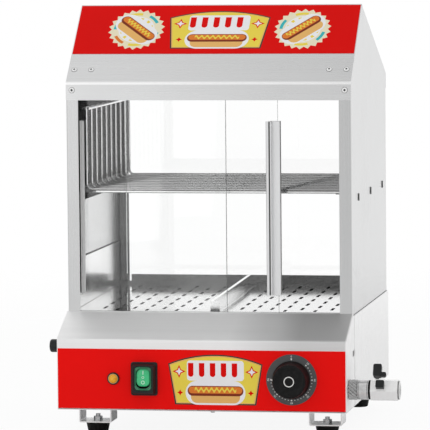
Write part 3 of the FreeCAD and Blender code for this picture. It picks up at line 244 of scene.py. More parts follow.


# Painted shade on the inner faces of the side panels above a height: their normals point to the cabinet's
# middle
def innerWall(s, patch):
    middle, half = cabinetOrigin.x, patch["halfWidth"]
    offset = s.remap(s.along("X"), middle - half, middle + half, -half, half)
    inward = s.remap(s.combine("MULTIPLY", offset, s.facing("X")), *patch["inward"], 1, 0)
    return s.combine("MULTIPLY", inward, s.remap(s.along("Z"), *patch["foot"]))


# Painted shade on the right part of the console short of its cheek: whole on the slope and weaker on the face
# below
def rightSlope(s, patch):
    return s.combine("MULTIPLY", s.between("X", patch["fadeIn"], patch["fadeOut"]),
                     s.remap(s.along("Z"), *patch["foot"], patch["least"], 1))


# Scale of a noise that is drawn out along one axis
def stretched(axis, along, across):
    return tuple(along if axis == other else across for other in "xyz")


# Sheet with a brushed grain along one axis, faint rolling bands and hand marks
def brushedSheet(name, look):
    s = Shader(name)
    fine = s.noise(1.0, detail=3.0, roughness=0.6, stretch=stretched(look["grain"], *look["lines"]))
    broad = s.noise(1.0, stretch=stretched(look["grain"], *look["bands"]))
    marks = s.noise(look["markScale"], detail=4.0, roughness=0.6)
    marks = s.remap(marks, *look["markRange"], 0, look["marks"])
    s.set(Metallic=look["metal"], Specular_Tint=(*grey(look["grazing"]), 1.0))
    tone = s.combine("ADD", s.spread(fine, 0, look["streak"]), s.spread(broad, 0, 1 - look["streak"]))
    s.coat(s.mottled(tone, look), s.combine("ADD", s.worn(fine, look), marks), look["patches"])
    s.bump(fine, look["depth"], look["relief"])
    return s.material


# A painted shade line across the X axis, at a grey level
def lineAcross(left, right, level):
    return stripe, {"axis": "X", "span": (left, right), "soft": 0.0002, "level": level}


# The lines and bands of a grain have a noise scale along it and one across it
sheetLook = {
    "colour": (0.735, 0.74, 0.742), "roughness": 0.28, "range": 0.04, "streak": 0.5, "variation": 0.03,
    "marks": 0.05, "markScale": 9.0, "markRange": (0.45, 0.75), "depth": 0.22, "relief": 0.04,
    "grain": "x", "lines": (5.0, 1300.0), "bands": (1.2, 70.0), "metal": 1.0, "grazing": 1.0,
    "patches": (),
}
addMaterials(brushedSheet, sheetLook, {
    "steelGrainAcross": {},
    # A paler stripe along the canopy's fold is a painted highlight
    "canopySteel": {"colour": (0.735, 0.738, 0.74), "patches": [
        (stripe, {"axis": "Z", "span": (0.4534, 0.4558), "soft": 0.0012, "level": 0.99})]},
    "consoleSteel": {"colour": grey(0.95), "roughness": 0.42, "metal": 0.38, "streak": 0.35,
                     "variation": 0.05, "patches": [
                         (rightSlope, {"fadeIn": (0.01, 0.1), "fadeOut": (0.16, 0.1615),
                                       "foot": (0.1295, 0.1315), "least": 0.55, "level": 0.5})]},
    "casingSteel": {"colour": grey(0.95), "metal": 0.8},
    "steelGrainUpright": {"colour": (0.655, 0.658, 0.66), "grain": "z", "roughness": 0.24, "patches": [
        (rearFlange, {"forward": (-0.6, -0.4), "depth": (0.15, 0.151), "level": 0.045}),
        (innerWall, {"halfWidth": 0.3, "inward": (-0.12, -0.08), "foot": (0.312, 0.316), "level": 0.02,
                     "rougher": 0.4})]},
    "polishedInside": {"colour": grey(0.78), "grain": "y", "roughness": 0.11, "range": 0.02,
                       "marks": 0.03, "depth": 0.05},
    "linerSteel": {"colour": grey(0.93), "grain": "z", "roughness": 0.2},
    # The rear sill's near-black steel is painted shade
    "rearSillShadeSteel": {"colour": (0.11, 0.11, 0.109), "roughness": 0.22},
    "tankSteel": {"colour": grey(0.035), "grazing": 0.1},
    "shadedSteel": {"colour": grey(0.09), "grain": "y", "roughness": 0.1, "range": 0.03, "depth": 0.08,
                    "grazing": 0.25},
    # The three grey lines along the right handle are painted shade
    "anodisedHandle": {"colour": (0.88, 0.885, 0.89), "grain": "z", "roughness": 0.42, "variation": 0.02,
                       "metal": 0.55, "patches": [lineAcross(0.0529, 0.0547, 0.08),
                                                  lineAcross(0.0494, 0.0498, 0.3),
                                                  lineAcross(0.0665, 0.067, 0.4)]},
    # The left door's handle: a brighter, matt copy of the handle's finish as painted light, with a painted
    # shadow along its left side
    "leftHandleLitAndShaded": {"colour": grey(0.97), "grain": "z", "roughness": 0.5, "metal": 0.0,
                            "patches": [lineAcross(-0.21, -0.1976, 0.01)]},
    "anodisedTrack": {"colour": grey(0.72), "roughness": 0.34},
})


# Turned, cast or plated metal without a grain
def plainMetal(name, look):
    s = Shader(name)
    wear = s.noise(look["scale"], detail=4.0, roughness=0.6)
    fine = s.noise(look["scale"] * look["finer"])
    s.set(Metallic=look["metal"])
    s.coat(s.mottled(s.remap(wear, *look["wear"]), look), s.worn(wear, look), look["patches"])
    s.bump(fine, look["depth"], look["relief"])
    return s.material


metalLook = {"roughness": 0.21, "range": 0.05, "scale": 200, "finer": 9, "wear": (0.35, 0.65),
             "variation": 0.1, "depth": 0.2, "relief": 0.03, "metal": 1.0, "patches": ()}
wireLook = {"colour": grey(0.85), "roughness": 0.11, "scale": 160, "variation": 0.05, "depth": 0.1}
addMaterials(plainMetal, metalLook, {
    "brightWire": wireLook,
    # The rack's wires are darker below a height: painted shade
    "rackWire": {**wireLook, "colour": grey(0.93),
                 "patches": [(below, {"top": (0.3204, 0.321), "level": 0.42})]},
    "turnedSteel": {"colour": (0.95, 0.95, 0.945), "roughness": 0.17, "scale": 120, "variation": 0.05},
    # The valve body is darker below a height: painted shade on its lower half
    "bodySteel": {"colour": (0.97, 0.97, 0.968), "scale": 220, "variation": 0.03, "depth": 0.15,
                  "metal": 0.2, "patches": [(below, {"top": (0.0658, 0.0664), "level": 0.88})]},
    "nutSteel": {"colour": grey(0.42), "roughness": 0.17},
    "sleeveSteel": {"colour": grey(0.66), "variation": 0.08},
    # Dark grey steel; as the rings in the sleeve's grooves and round the rivet heads it is painted shade
    "ringSteel": {"colour": grey(0.3), "roughness": 0.23},
    "zincPlate": {"colour": (0.5, 0.51, 0.52), "roughness": 0.29, "scale": 300, "depth": 0.3},
    "rivetAluminium": {"colour": grey(0.97), "roughness": 0.41, "scale": 400, "variation": 0.02,
                       "depth": 0.15, "metal": 0.0},
    # Near-black steel as painted shade: the strips along the liners' hems and the rivets' mandrel ends in
    # their holes
    "shadeBlackSteel": {"colour": (0.012, 0.012, 0.013), "roughness": 0.41, "scale": 400, "metal": 0.4},
    "heaterSheath": {"colour": (0.24, 0.22, 0.2), "roughness": 0.46, "scale": 90, "variation": 0.25,
                     "depth": 0.3},
    "turnedBrass": {"colour": (0.73, 0.55, 0.27), "roughness": 0.29, "variation": 0.08},
    "drawnCopper": {"colour": (0.72, 0.36, 0.23), "roughness": 0.31},
})


# Plastic, rubber or printed film: a fine texture with small changes of tone
def evenSurface(name, look):
    s = Shader(name)
    grain = s.noise(look["grain"], *look["grainDetail"])
    cloud = s.noise(look["cloud"], detail=3.0)
    s.coat(s.mottled(s.spread(cloud), look), s.worn(grain, look))
    s.set(Specular_IOR_Level=look["shine"])
    if look["clear"]:
        s.set(Subsurface_Weight=look["clear"], Subsurface_Radius=[0.002] * 3,
              Coat_Weight=0.3, Coat_Roughness=0.12)
    s.bump(grain, look["depth"], look["relief"])
    return s.material


plasticLook = {"grainDetail": (3.0, 0.6), "cloud": 35, "range": 0.06, "variation": 0.2, "depth": 0.1,
               "relief": 0.05, "shine": 0.5, "clear": 0.0}
addMaterials(evenSurface, plasticLook, {
    "blackPlastic": {"colour": (0.011, 0.0125, 0.013), "roughness": 0.34, "grain": 2200, "depth": 0.3,
                     "shine": 0.3},
    "knobPlastic": {"colour": (0.006, 0.006, 0.0062), "roughness": 0.42, "grain": 1300, "cloud": 260,
                    "variation": 0.5, "depth": 0.7, "shine": 0.16},
    "dialPlastic": {"colour": (0.094, 0.097, 0.099), "roughness": 0.45, "grain": 2600, "variation": 0.1,
                    "depth": 0.25, "shine": 0.25},
    "blackRubber": {"colour": (0.008, 0.008, 0.0085), "roughness": 0.6, "grain": 1500, "depth": 0.5,
                    "shine": 0.15},
    "greenClear": {"colour": (0.06, 0.6, 0.25), "roughness": 0.2, "grain": 900, "variation": 0.1,
                   "shine": 0.3, "clear": 0.25},
    "greenBoot": {"colour": (0.05, 0.25, 0.13), "roughness": 0.16, "grain": 500, "clear": 0.2},
    "amberClear": {"colour": (1.0, 0.5, 0.03), "roughness": 0.16, "grain": 700, "variation": 0.12,
                   "shine": 0.4, "clear": 0.3},
})

# Ink is semi-gloss with a faint orange peel
inkLook = {**plasticLook, "grain": 420, "grainDetail": (2.0, 0.5), "cloud": 14, "roughness": 0.36,
           "range": 0.05, "variation": 0.02, "depth": 0.05, "relief": 0.03, "shine": 0.1}
addMaterials(evenSurface, inkLook, {
    "inkRed": {"colour": (0.78, 0.003, 0.002), "shine": 0.06},
    "inkRedPanel": {"colour": (0.93, 0.005, 0.004), "shine": 0.06},
    "inkYellow": {"colour": (0.90, 0.72, 0.09)},
    "inkOutline": {"colour": (0.035, 0.05, 0.045)},
    "inkCream": {"colour": (0.90, 0.83, 0.60)},
    "inkOrange": {"colour": (0.80, 0.22, 0.035)},
    "inkTan": {"colour": (0.86, 0.50, 0.16)},
    "inkTeal": {"colour": (0.05, 0.50, 0.55)},
    "inkBrown": {"colour": (0.22, 0.035, 0.015)},
    "inkWhite": {"colour": (0.93, 0.93, 0.95)},
    "inkMarking": {"colour": (0.80, 0.80, 0.78), "roughness": 0.5},
    "inkPaleGreen": {"colour": (0.55, 0.88, 0.68), "roughness": 0.5},
})


# Float glass: clear faces with faint wipe marks, greener where the cut edges show
glassLook = {
    "face": (0.998, 1.0, 0.999), "edge": (0.42, 0.50, 0.47), "faceRange": (0.3, 0.9), "roughness": 0.0,
    "wipe": 0.008, "wipeScale": 18.0, "wipeRange": (0.45, 0.8), "shadow": (0.97, 0.98, 0.975),
    "refraction": 1.45,
}


def paneGlass(name, look):
    s = Shader(name)
    facing = s.add("ShaderNodeMath", operation="ABSOLUTE")
    s.link(s.facing("Y"), facing.inputs[0])
    onFace = s.remap(facing.outputs[0], *look["faceRange"])
    wipe = s.noise(look["wipeScale"], detail=4.0, roughness=0.6, stretch=(1, 1, 0.35))
    rough = s.remap(wipe, *look["wipeRange"], look["roughness"], look["roughness"] + look["wipe"])
    s.coat(s.blend(onFace, look["edge"], look["face"]), rough)
    s.set(Transmission_Weight=1.0, IOR=look["refraction"])
    path = s.add("ShaderNodeLightPath")
    clear = s.add("ShaderNodeBsdfTransparent")
    clear.inputs["Color"].default_value = (*look["shadow"], 1)
    mix = s.add("ShaderNodeMixShader")
    s.link(path.outputs["Is Shadow Ray"], mix.inputs["Fac"])
    s.link(s.surface.outputs[0], mix.inputs[1])
    s.link(clear.outputs[0], mix.inputs[2])
    s.link(mix.outputs[0], s.output.inputs["Surface"])
    return s.material


materials["floatGlass"] = paneGlass("floatGlass", glassLook)
print("materials ready")

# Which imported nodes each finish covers. Nodes that a piece below replaces aren't listed.
finishes = {
    "consoleSteel": ["console_shell"],
    "casingSteel": ["base_casing", "foot_brackets"],
    "steelGrainAcross": ["base_plate", "front_brace", "sill_beam"],
    "steelGrainUpright": ["side_panel_left", "side_panel_right"],
    "canopySteel": ["canopy", "roof_rear"],
    "polishedInside": ["steam_tray"],
    "linerSteel": ["side_liner_left", "side_liner_right", "divider"],
    "rearSillShadeSteel": ["rear_sill"],
    "tankSteel": ["water_tank"],
    "shadedSteel": ["rack_support_left", "rack_support_right"],
    "anodisedHandle": ["door_handle_right"],
    "leftHandleLitAndShaded": ["door_handle_left"],
    "anodisedTrack": ["bottom_track", "top_track"],
    "brightWire": ["bun_rack_frame", "valve_ball"],
    "rackWire": ["bun_rack_wires"],
    "turnedSteel": ["level_probe", "thermostat_shaft", "drain_pipe", "valve_stem", "valve_lever"],
    "bodySteel": ["valve_body"],
    "zincPlate": ["base_screws", "foot_hardware"],
    "heaterSheath": ["heating_element"],
    "turnedBrass": ["tank_glands"],
    "drawnCopper": ["thermostat_bulb"],
    "blackPlastic": ["thermostat_body", "switch_housing", "reset_cutout", "lever_grip", "cord_gland"],
    "dialPlastic": ["dial_plate"],
    "blackRubber": ["rear_glass_beads", "drain_seal", "rubber_feet"],
    "inkRed": ["sign_panel"],
    "inkRedPanel": ["control_panel"],
    "floatGlass": ["rear_glass", "door_glass_left", "door_glass_right"],
}


def dressNodes():
    for finish, names in finishes.items():
        for name in names:
            for slot in nodes[name].material_slots:
                slot.material = materials[finish]


dressNodes()
print("nodes dressed")


# Mesh tools. A stand is a matrix whose z points out of the surface and whose y points up it.
def standOn(origin, out, up):
    out = Vector(out).normalized()
    up = (Vector(up) - out * Vector(up).dot(out)).normalized()
    stand = Matrix((up.cross(out), up, out)).transposed().to_4x4()
    stand.translation = at(*origin)
    return stand


def frontStand(x, z, forward=0):
    return standOn((x, -forward, z), (0, -1, 0), (0, 0, 1))


def inside(stand, x, y, z):
    return stand @ (Vector((x, y, z)) * millimetre)


# How far a node's skin lies above a stand, in millimetres
def skinAbove(stand, node):
    out = stand.to_3x3().col[2]
    return max((v.co - stand.translation).dot(out) for v in nodes[node].data.vertices) / millimetre


def raised(stand, height):
    return stand @ Matrix.Translation((0, 0, height * millimetre))


def finishPiece(name, bm, finish, body, slot, smooth=30, instead=()):
    bmesh.ops.recalc_face_normals(bm, faces=bm.faces)
    mesh = bpy.data.meshes.new(name)
    bm.to_mesh(mesh)
    bm.free()
    piece = bpy.data.objects.new(name, mesh)
    scene.collection.objects.link(piece)
    mesh.materials.append(materials[finish])
    mesh.polygons.foreach_set("use_smooth", [True] * len(mesh.polygons))
    mesh.set_sharp_from_angle(angle=math.radians(smooth))
    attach(piece, body)
    if instead:
        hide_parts(*instead)


def arc(x, y, radius, start, end, steps):
    angles = [math.radians(start + (end - start) * i / steps) for i in range(steps + 1)]
    return [(x + radius * math.cos(a), y + radius * math.sin(a)) for a in angles]


def disc(x, y, radius, steps=40):
    return arc(x, y, radius, 0, 360, steps)[:-1]


def roundedRect(width, tall, corner, steps=6, centre=(0, 0)):
    x, y = width / 2 - corner, tall / 2 - corner
    quarter = [(x, y, 0), (-x, y, 90), (-x, -y, 180), (x, -y, 270)]
    return [(centre[0] + px, centre[1] + py) for cx, cy, turn in quarter
            for px, py in arc(cx, cy, corner, turn, turn + 90, steps)]


def moved(outline, x, y, turn=0):
    c, s = math.cos(math.radians(turn)), math.sin(math.radians(turn))
    return [(x + px * c - py * s, y + px * s + py * c) for px, py in outline]


# Rounded outer edge of a turned cap, from its side to its top
def roundedEdge(radius, top, edge):
    return arc(radius - edge, top - edge, edge, 0, 90, 8)


# Profile of a low dome from its foot to a given angle short of its top
def dome(radius, foot, rise, end, step):
    return [(radius * math.cos(math.radians(a)), foot + rise * math.sin(math.radians(a)))
            for a in range(0, end, step)]


# Turns a profile of (radius, height) pairs round the stand's z axis
def lathe(bm, stand, profile, steps=64, closed=False, centre=(0, 0)):
    rings = []
    for radius, height in profile:
        outline = disc(*centre, radius, steps) if radius else [centre]
        rings.append([bm.verts.new(inside(stand, x, y, height)) for x, y in outline])
    following = rings[1:] + (rings[:1] if closed else [])
    for lower, upper in zip(rings, following):
        for i in range(steps):
            j = (i + 1) % steps
            corners = [ring[k % len(ring)] for ring, k in ((lower, i), (lower, j), (upper, j), (upper, i))]
            bm.faces.new(list(dict.fromkeys(corners)))


# Joins flat outlines of equal point count at their heights into one closed shell
def loft(bm, stand, layers, closed=False):
    loops = []
    for outline, height in layers:
        loops.append([bm.verts.new(inside(stand, x, y, height(x, y) if callable(height) else height))
                      for x, y in outline])
    following = loops[1:] + (loops[:1] if closed else [])
    for lower, upper in zip(loops, following):
        for i in range(len(lower)):
            j = (i + 1) % len(lower)
            bm.faces.new((lower[i], lower[j], upper[j], upper[i]))
    if not closed:
        bm.faces.new(loops[0])
        bm.faces.new(loops[-1])


# A flat ring between two outlines
def loftRing(bm, stand, outer, inner, low, high):
    loft(bm, stand, [(outer, low), (outer, high), (inner, high), (inner, low)], closed=True)


def turnedPiece(name, stand, profile, *finishing, steps=64, closed=False):
    bm = bmesh.new()
    lathe(bm, stand, profile, steps, closed)
    finishPiece(name, bm, *finishing)


def loftedPiece(name, stand, layers, *finishing, closed=False):
    bm = bmesh.new()
    loft(bm, stand, layers, closed)
    finishPiece(name, bm, *finishing)


# Letters as thin closed shapes, with the curve's points joined where they meet
letterLook = {"curveSteps": 3, "weld": 0.0005}


def letters(bm, stand, text, place, size, turn, low, high):
    curve = bpy.data.curves.new("lettering", "FONT")
    curve.body = text
    curve.size = size
    curve.align_x = "CENTER"
    curve.align_y = "CENTER"
    curve.resolution_u = letterLook["curveSteps"]
    curve.extrude = (high - low) / 2
    holder = bpy.data.objects.new("lettering", curve)
    mesh = bpy.data.meshes.new_from_object(holder)
    shape = bmesh.new()
    shape.from_mesh(mesh)
    bmesh.ops.remove_doubles(shape, verts=shape.verts, dist=letterLook["weld"])
    copies = {}
    for v in shape.verts:
        (px, py), = moved([(v.co.x, v.co.y)], *place, turn)
        copies[v] = bm.verts.new(inside(stand, px, py, v.co.z + (low + high) / 2))
    for face in shape.faces:
        bm.faces.new([copies[v] for v in face.verts])
    shape.free()
    bpy.data.objects.remove(holder)
    bpy.data.curves.remove(curve)
    bpy.data.meshes.remove(mesh)


# Ink lies on a face in thin layers, one mesh for each colour and level
inkLayer = 0.05


class InkSheet:
    def __init__(self, name, stand, face, slot):
        self.name, self.stand, self.face, self.slot = name, stand, face, slot
        self.layers = {}

    def layer(self, ink, level):
        if (ink, level) not in self.layers:
            self.layers[ink, level] = bmesh.new()
        return self.layers[ink, level]

    def heights(self, level):
        return self.face - inkLayer, self.face + inkLayer * level

    def shape(self, ink, level, outline):
        low, high = self.heights(level)
        loft(self.layer(ink, level), self.stand, [(outline, low), (outline, high)])

    def ring(self, ink, level, outer, inner):
        loftRing(self.layer(ink, level), self.stand, outer, inner, *self.heights(level))

    def text(self, ink, level, words, place, size, turn=0):
        letters(self.layer(ink, level), self.stand, words, place, size, turn, *self.heights(level))

    def finish(self, body):
        for (ink, level), bm in self.layers.items():
            material = "ink" + ink[0].upper() + ink[1:]
            finishPiece(f"{self.name}_{ink}_{level}", bm, material, body, self.slot)


# Printed artwork: a plaque with an awning over a filled roll, and two sunburst roundels
slopeFoot, slopeRise, slopeRun = (0, 0, 454.6), 96.5, 105.0
signStand = standOn(slopeFoot, (0, -slopeRise, slopeRun), (0, slopeRun, slopeRise))
panelStand = frontStand(0, 0)

artPlan = {
    "sign": {"middle": 2.5, "foot": 61.5, "width": 133.0, "height": 69.5, "slant": 7.0, "crown": 12.0},
    "panel": {"middle": 19.0, "foot": 47.2, "width": 122.0, "height": 64.5, "slant": 8.5, "crown": 12.0},
    "rims": (("outline", 0.0), ("tan", 1.6), ("yellow", 3.0)),
    "stripes": 10, "roundelRadius": 34.0, "roundels": ((-106.0, 97.0, -42), (113.4, 97.0, 42)),
}


def plaqueOutline(plan, inset):
    half, rise = plan["width"] / 2, plan["crown"]
    foot, top = plan["foot"] + inset, plan["foot"] + plan["height"] - rise
    radius = (half * half + rise * rise) / (2 * rise)
    spread = math.degrees(math.asin((half - inset) / (radius - inset)))
    crown = arc(plan["middle"], top + rise - radius, radius - inset, 90 - spread, 90 + spread, 28)
    narrow = half - plan["slant"] - inset
    return [(plan["middle"] - narrow, foot), (plan["middle"] + narrow, foot)] + crown


def sparkle(points, outer, innerShare):
    radii = (outer, outer * innerShare)
    return [(radii[i % 2] * math.sin(math.pi * i / points), radii[i % 2] * math.cos(math.pi * i / points))
            for i in range(2 * points)]


# A strip of stripes whose lower ends are round, as on a stall's awning
def awning(sheet, level, left, right, top, drop):
    count = artPlan["stripes"]
    step = (right - left) / count
    for i in range(count):
        x = left + step * (i + 0.5)
        outline = [(x + step / 2, top), (x - step / 2, top)] + arc(x, top - drop, step / 2, 180, 360, 10)
        sheet.shape("white" if i % 2 else "red", level, outline)


# Each part of a filled roll with its rise, length, end caps and thickness. The length is a share of
# the roll's length, and the others are shares of its thickness.
rollShares = (("white", 0, 1, 0.5, 2.3), ("tan", -0.4, 0.9, 0, 1.15),
              ("brown", 0.18, 1.02, 0, 0.95), ("orange", 0.26, 0.98, 0, 0.65))
sauceShares = {"half": 0.38, "rise": 0.28, "swing": 0.16, "width": 0.12}
saucePoints, halfWavePoints = 48, 3  # Along the whole line of sauce, and in half a wave of it
capShare = 0.499  # Just under half, so that the round ends have no doubled points


# A filled roll seen from the side: white backing, bun, filling with a lit middle, and wavy sauce
def filledRoll(sheet, level, x, y, length, turn, thickShare=0.19):
    thick = length * thickShare
    for depth, (ink, rise, long, caps, tall) in enumerate(rollShares):
        long, tall = length * long + thick * caps, thick * tall
        capsule = roundedRect(long, tall, tall * capShare, 8, (0, thick * rise))
        sheet.shape(ink, level + depth, moved(capsule, x, y, turn))
    half = length * sauceShares["half"]
    rise, swing, width = (thick * sauceShares[k] for k in ("rise", "swing", "width"))
    line = [(half * (2 * i / saucePoints - 1), rise + swing * math.sin(math.pi * i / halfWavePoints))
            for i in range(saucePoints + 1)]
    ribbon = [(px, py + width) for px, py in line] + [(px, py - width) for px, py in reversed(line)]
    sheet.shape("yellow", level + len(rollShares), moved(ribbon, x, y, turn))


# Places and sizes on a plaque as shares of its width and height. A sparkle's row holds its ink and
# level, its place from the middle and from the foot, its size and the share that its inner points keep.
plaqueShares = {
    "awningTop": 0.83, "awningHalf": 0.29, "awningDrop": 0.22, "backing": (2.08, 0.40, 0.06),
    "backingDrop": 0.15, "rollUp": 0.24, "rollLength": 0.58,
    "sparkles": (("red", 4, 0.385, 0.66, 0.13, 0.42), ("white", 5, 0.385, 0.66, 0.08, 0.42),
                 ("red", 4, 0.375, 0.24, 0.06, 0.5)),
}


def plaque(sheet, plan):
    shares = plaqueShares
    middle, foot, wide, tall = (plan[k] for k in ("middle", "foot", "width", "height"))
    for level, (ink, inset) in enumerate(artPlan["rims"], 1):
        sheet.shape(ink, level, plaqueOutline(plan, inset))
    top, half = foot + tall * shares["awningTop"], wide * shares["awningHalf"]
    across, up, corner = shares["backing"]
    sheet.shape("white", 4, roundedRect(half * across, tall * up, tall * corner, 5,
                                        (middle, top - tall * shares["backingDrop"])))
    awning(sheet, 5, middle - half, middle + half, top, tall * shares["awningDrop"])
    filledRoll(sheet, 5, middle, foot + tall * shares["rollUp"], wide * shares["rollLength"], 0)
    for side in (-1, 1):
        for ink, level, across, up, outer, inner in shares["sparkles"]:
            spot = (middle + side * wide * across, foot + tall * up)
            sheet.shape(ink, level, moved(sparkle(4, tall * outer, inner), *spot))


# Shares of a roundel's radius, but a tooth keeps its share of the rim, and the roll's thickness is a
# share of its length. The bands are coloured arcs with the angles at which they start.
roundelShares = {
    "rim": 1.1, "tooth": 0.88, "face": 0.70, "band": (0.90, 0.78), "roll": 1.72, "rollThick": 0.26,
    "ray": ((0.42, -0.03), (0.64, -0.07), (0.64, 0.07), (0.42, 0.03)),
}
roundelPlan = {
    "teeth": 22, "bandSpan": 34, "firstRay": 15, "rayStep": 30,
    "bands": (("teal", 25), ("yellow", 80), ("teal", 145), ("orange", 205), ("yellow", 255), ("teal", 315)),
}


# A cream roundel with a toothed edge, coloured arcs, short rays and a leaning filled roll
def roundel(sheet, x, y, turn):
    radius, shares, plan = artPlan["roundelRadius"], roundelShares, roundelPlan
    sheet.shape("cream", 1, moved(sparkle(plan["teeth"], radius * shares["rim"], shares["tooth"]), x, y))
    sheet.shape("white", 2, disc(x, y, radius * shares["face"]))
    outer, inner = (radius * share for share in shares["band"])
    for ink, start in plan["bands"]:
        end = start + plan["bandSpan"]
        sheet.shape(ink, 2, arc(x, y, outer, start, end, 10) + arc(x, y, inner, end, start, 10))
    ray = [(radius * along, radius * across) for along, across in shares["ray"]]
    for angle in range(plan["firstRay"], plan["firstRay"] + 360, plan["rayStep"]):
        sheet.shape("yellow", 3, moved(ray, x, y, angle))
    filledRoll(sheet, 4, x, y, radius * shares["roll"], turn, shares["rollThick"])


def makeArtwork():
    sign = InkSheet("signInk", signStand, skinAbove(signStand, "sign_panel"), "red_print")
    plaque(sign, artPlan["sign"])
    for spot in artPlan["roundels"]:
        roundel(sign, *spot)
    sign.finish("cabinet")
    panel = InkSheet("panelInk", panelStand, skinAbove(panelStand, "control_panel"), "red_print")
    plaque(panel, artPlan["panel"])
    panel.finish("cabinet")


makeArtwork()
print("artwork printed")

# Thermostat dial: printed scale on the plate, dished knob with a pointer and a ringed hub.
# Lists of pairs are profiles, as steps in radius and height from the size they are named for.
dialPlan = {
    "place": (117.2, 80.7), "plateFace": 67.7, "dotRadius": 26.4, "dot": 0.62, "bigDot": 1.0,
    "first": 45, "last": 270, "step": 9, "labelRadius": 29.7, "labelSize": 3.6, "labelStep": 45,
    "lowest": 30, "valueStep": 10,
    "zeroMark": {"rise": 0.3, "radius": 1.0, "arc": (-20, 200, 14), "tip": 2.0},
    "knobBack": 68.2, "knobFront": 89.5, "baseRadius": 24.2, "faceRadius": 21.5, "edgeRound": 2.2,
    "base": ((-0.8, 0), (0, 0.8), (0, 3.0), (-0.5, 3.6)),
    "dishRadius": 17.0, "dish": ((1.2, 0), (0, -0.35), (-2.5, -0.8)),
    "hubRadius": 7.0, "hubSunk": 0.12, "hub": ((1.2, -0.68), (0.3, -0.2), (-0.2, 0)), "ring": (6.7, 5.5),
    "pointer": (4.4, 2.0, 0.5), "pointerInset": 1.1, "pointerSpan": (1.0, 4.4),
}


def onDial(radius, turn):
    angle = math.radians(90 - turn)
    return radius * math.cos(angle), radius * math.sin(angle)


def printDial(plan, stand):
    plate = InkSheet("dialInk", stand, plan["plateFace"], "black_plastic")
    for turn in range(plan["first"], plan["last"] + 1, plan["step"]):
        labels, between = divmod(turn - plan["first"], plan["labelStep"])
        dot = plan["dot" if between else "bigDot"]
        plate.shape("marking", 1, disc(*onDial(plan["dotRadius"], turn), dot, 16))
        if not between:
            value = plan["lowest"] + labels * plan["valueStep"]
            plate.text("marking", 1, str(value), onDial(plan["labelRadius"], turn), plan["labelSize"], -turn)
    plate.text("marking", 1, "0", (0, plan["labelRadius"]), plan["labelSize"])
    mark = plan["zeroMark"]
    drop = arc(0, plan["dotRadius"] + mark["rise"], mark["radius"], *mark["arc"])
    plate.shape("marking", 1, drop + [(0, plan["dotRadius"] - mark["tip"])])
    plate.finish("cabinet")


def makeKnob(plan, stand):
    back, front = plan["knobBack"], plan["knobFront"]
    hubFace = front - plan["hubSunk"]
    profile = [(0, back)] + moved(plan["base"], plan["baseRadius"], back)
    profile += roundedEdge(plan["faceRadius"], front, plan["edgeRound"])
    profile += moved(plan["dish"], plan["dishRadius"], front)
    profile += moved(plan["hub"], plan["hubRadius"], hubFace) + [(0, hubFace)]
    turnedPiece("knobBody", stand, profile, "knobPlastic", "temperature_knob", "dark_plastic", 40,
                ("thermostat_knob",), steps=96)
    marking = InkSheet("knobInk", stand, hubFace, "dark_plastic")
    marking.ring("marking", 1, *(disc(0, 0, radius, 48) for radius in plan["ring"]))
    marking.finish("temperature_knob")
    place = onDial(plan["baseRadius"] - plan["pointerInset"], plan["last"])
    pointer = roundedRect(*plan["pointer"], 4, place)
    loftedPiece("knobPointer", stand, [(pointer, back + up) for up in plan["pointerSpan"]], "inkMarking",
                "temperature_knob", "dark_plastic")


dialStand = frontStand(*dialPlan["place"])
printDial(dialPlan, dialStand)
makeKnob(dialPlan, dialStand)
print("dial made")

# Rocker switch: stepped bezel, clear boot and a rounded rocker marked I and O. The sections are
# pairs of inset and height, but the boot's has the share of the way from its rim to its opening.
switchPlan = {
    "place": (-73.25, 79.7), "face": 66.5, "lift": 1.2,
    "bezel": (34.5, 43.0, 3.0), "window": (22.6, 31.0, 4.5),
    "bezelSection": ((0, 0.02), (0, 1.8), (0.6, 2.5), (1.7, 2.5), (2.0, 2.9), (3.4, 11.2), (4.0, 12.0)),
    "windowSection": ((-0.7, 12.0), (-0.3, 11.5), (-0.3, 10.4), (0.5, 10.0), (0.5, 0.02)),
    "bootRim": (21.7, 30.1, 4.5), "bootOpening": (18.8, 25.8, 7.1), "bootFace": 10.0,
    "bootSection": ((0, -1.4), (0.02, 0.1), (0.16, 0.35), (0.34, -0.25), (0.6, -0.9), (0.84, -0.5),
                    (1, -0.7), (1, -2.2)),
    "rocker": (17.4, 22.8, 6.4), "cornerShare": 0.8, "rockerFace": 9.6, "crown": (0.008, 0.006),
    "rockerSide": ((0, 0.6), (0, 8.0)), "rockerTop": ((0.3, -0.2), (0.9, 0.25), (1.8, 0.4), (4.0, 0.42)),
    "tilt": 6.0, "pivot": 3.0, "markSpan": (-0.1, 0.5), "bar": (1.3, 5.0, 0.4), "barUp": 6.3,
    "rings": ((0.2, 1.7, 1.0), (-6.2, 2.5, 1.45)),
}


def makeBezel(plan, stand):
    def inset(size, amount, up=0):
        width, tall, corner = size
        return roundedRect(width - 2 * amount, tall - 2 * amount, corner, centre=(0, up))

    layers = [(inset(plan["bezel"], amount), height) for amount, height in plan["bezelSection"]]
    for amount, height in plan["windowSection"]:
        layers.append((inset(plan["window"], amount, plan["lift"]), height))
    loftedPiece("switchBezel", stand, layers, "blackPlastic", "cabinet", "black_plastic", 35,
                ("switch_bezel",), closed=True)


def makeBoot(plan, stand):
    def loop(share):
        size = [rim + (opening - rim) * share for rim, opening in zip(plan["bootRim"], plan["bootOpening"])]
        return roundedRect(*size, centre=(0, plan["lift"]))

    layers = [(loop(share), plan["bootFace"] + height) for share, height in plan["bootSection"]]
    loftedPiece("switchBoot", stand, layers, "greenBoot", "cabinet", "green_plastic", 40,
                ("switch_boot",), closed=True)


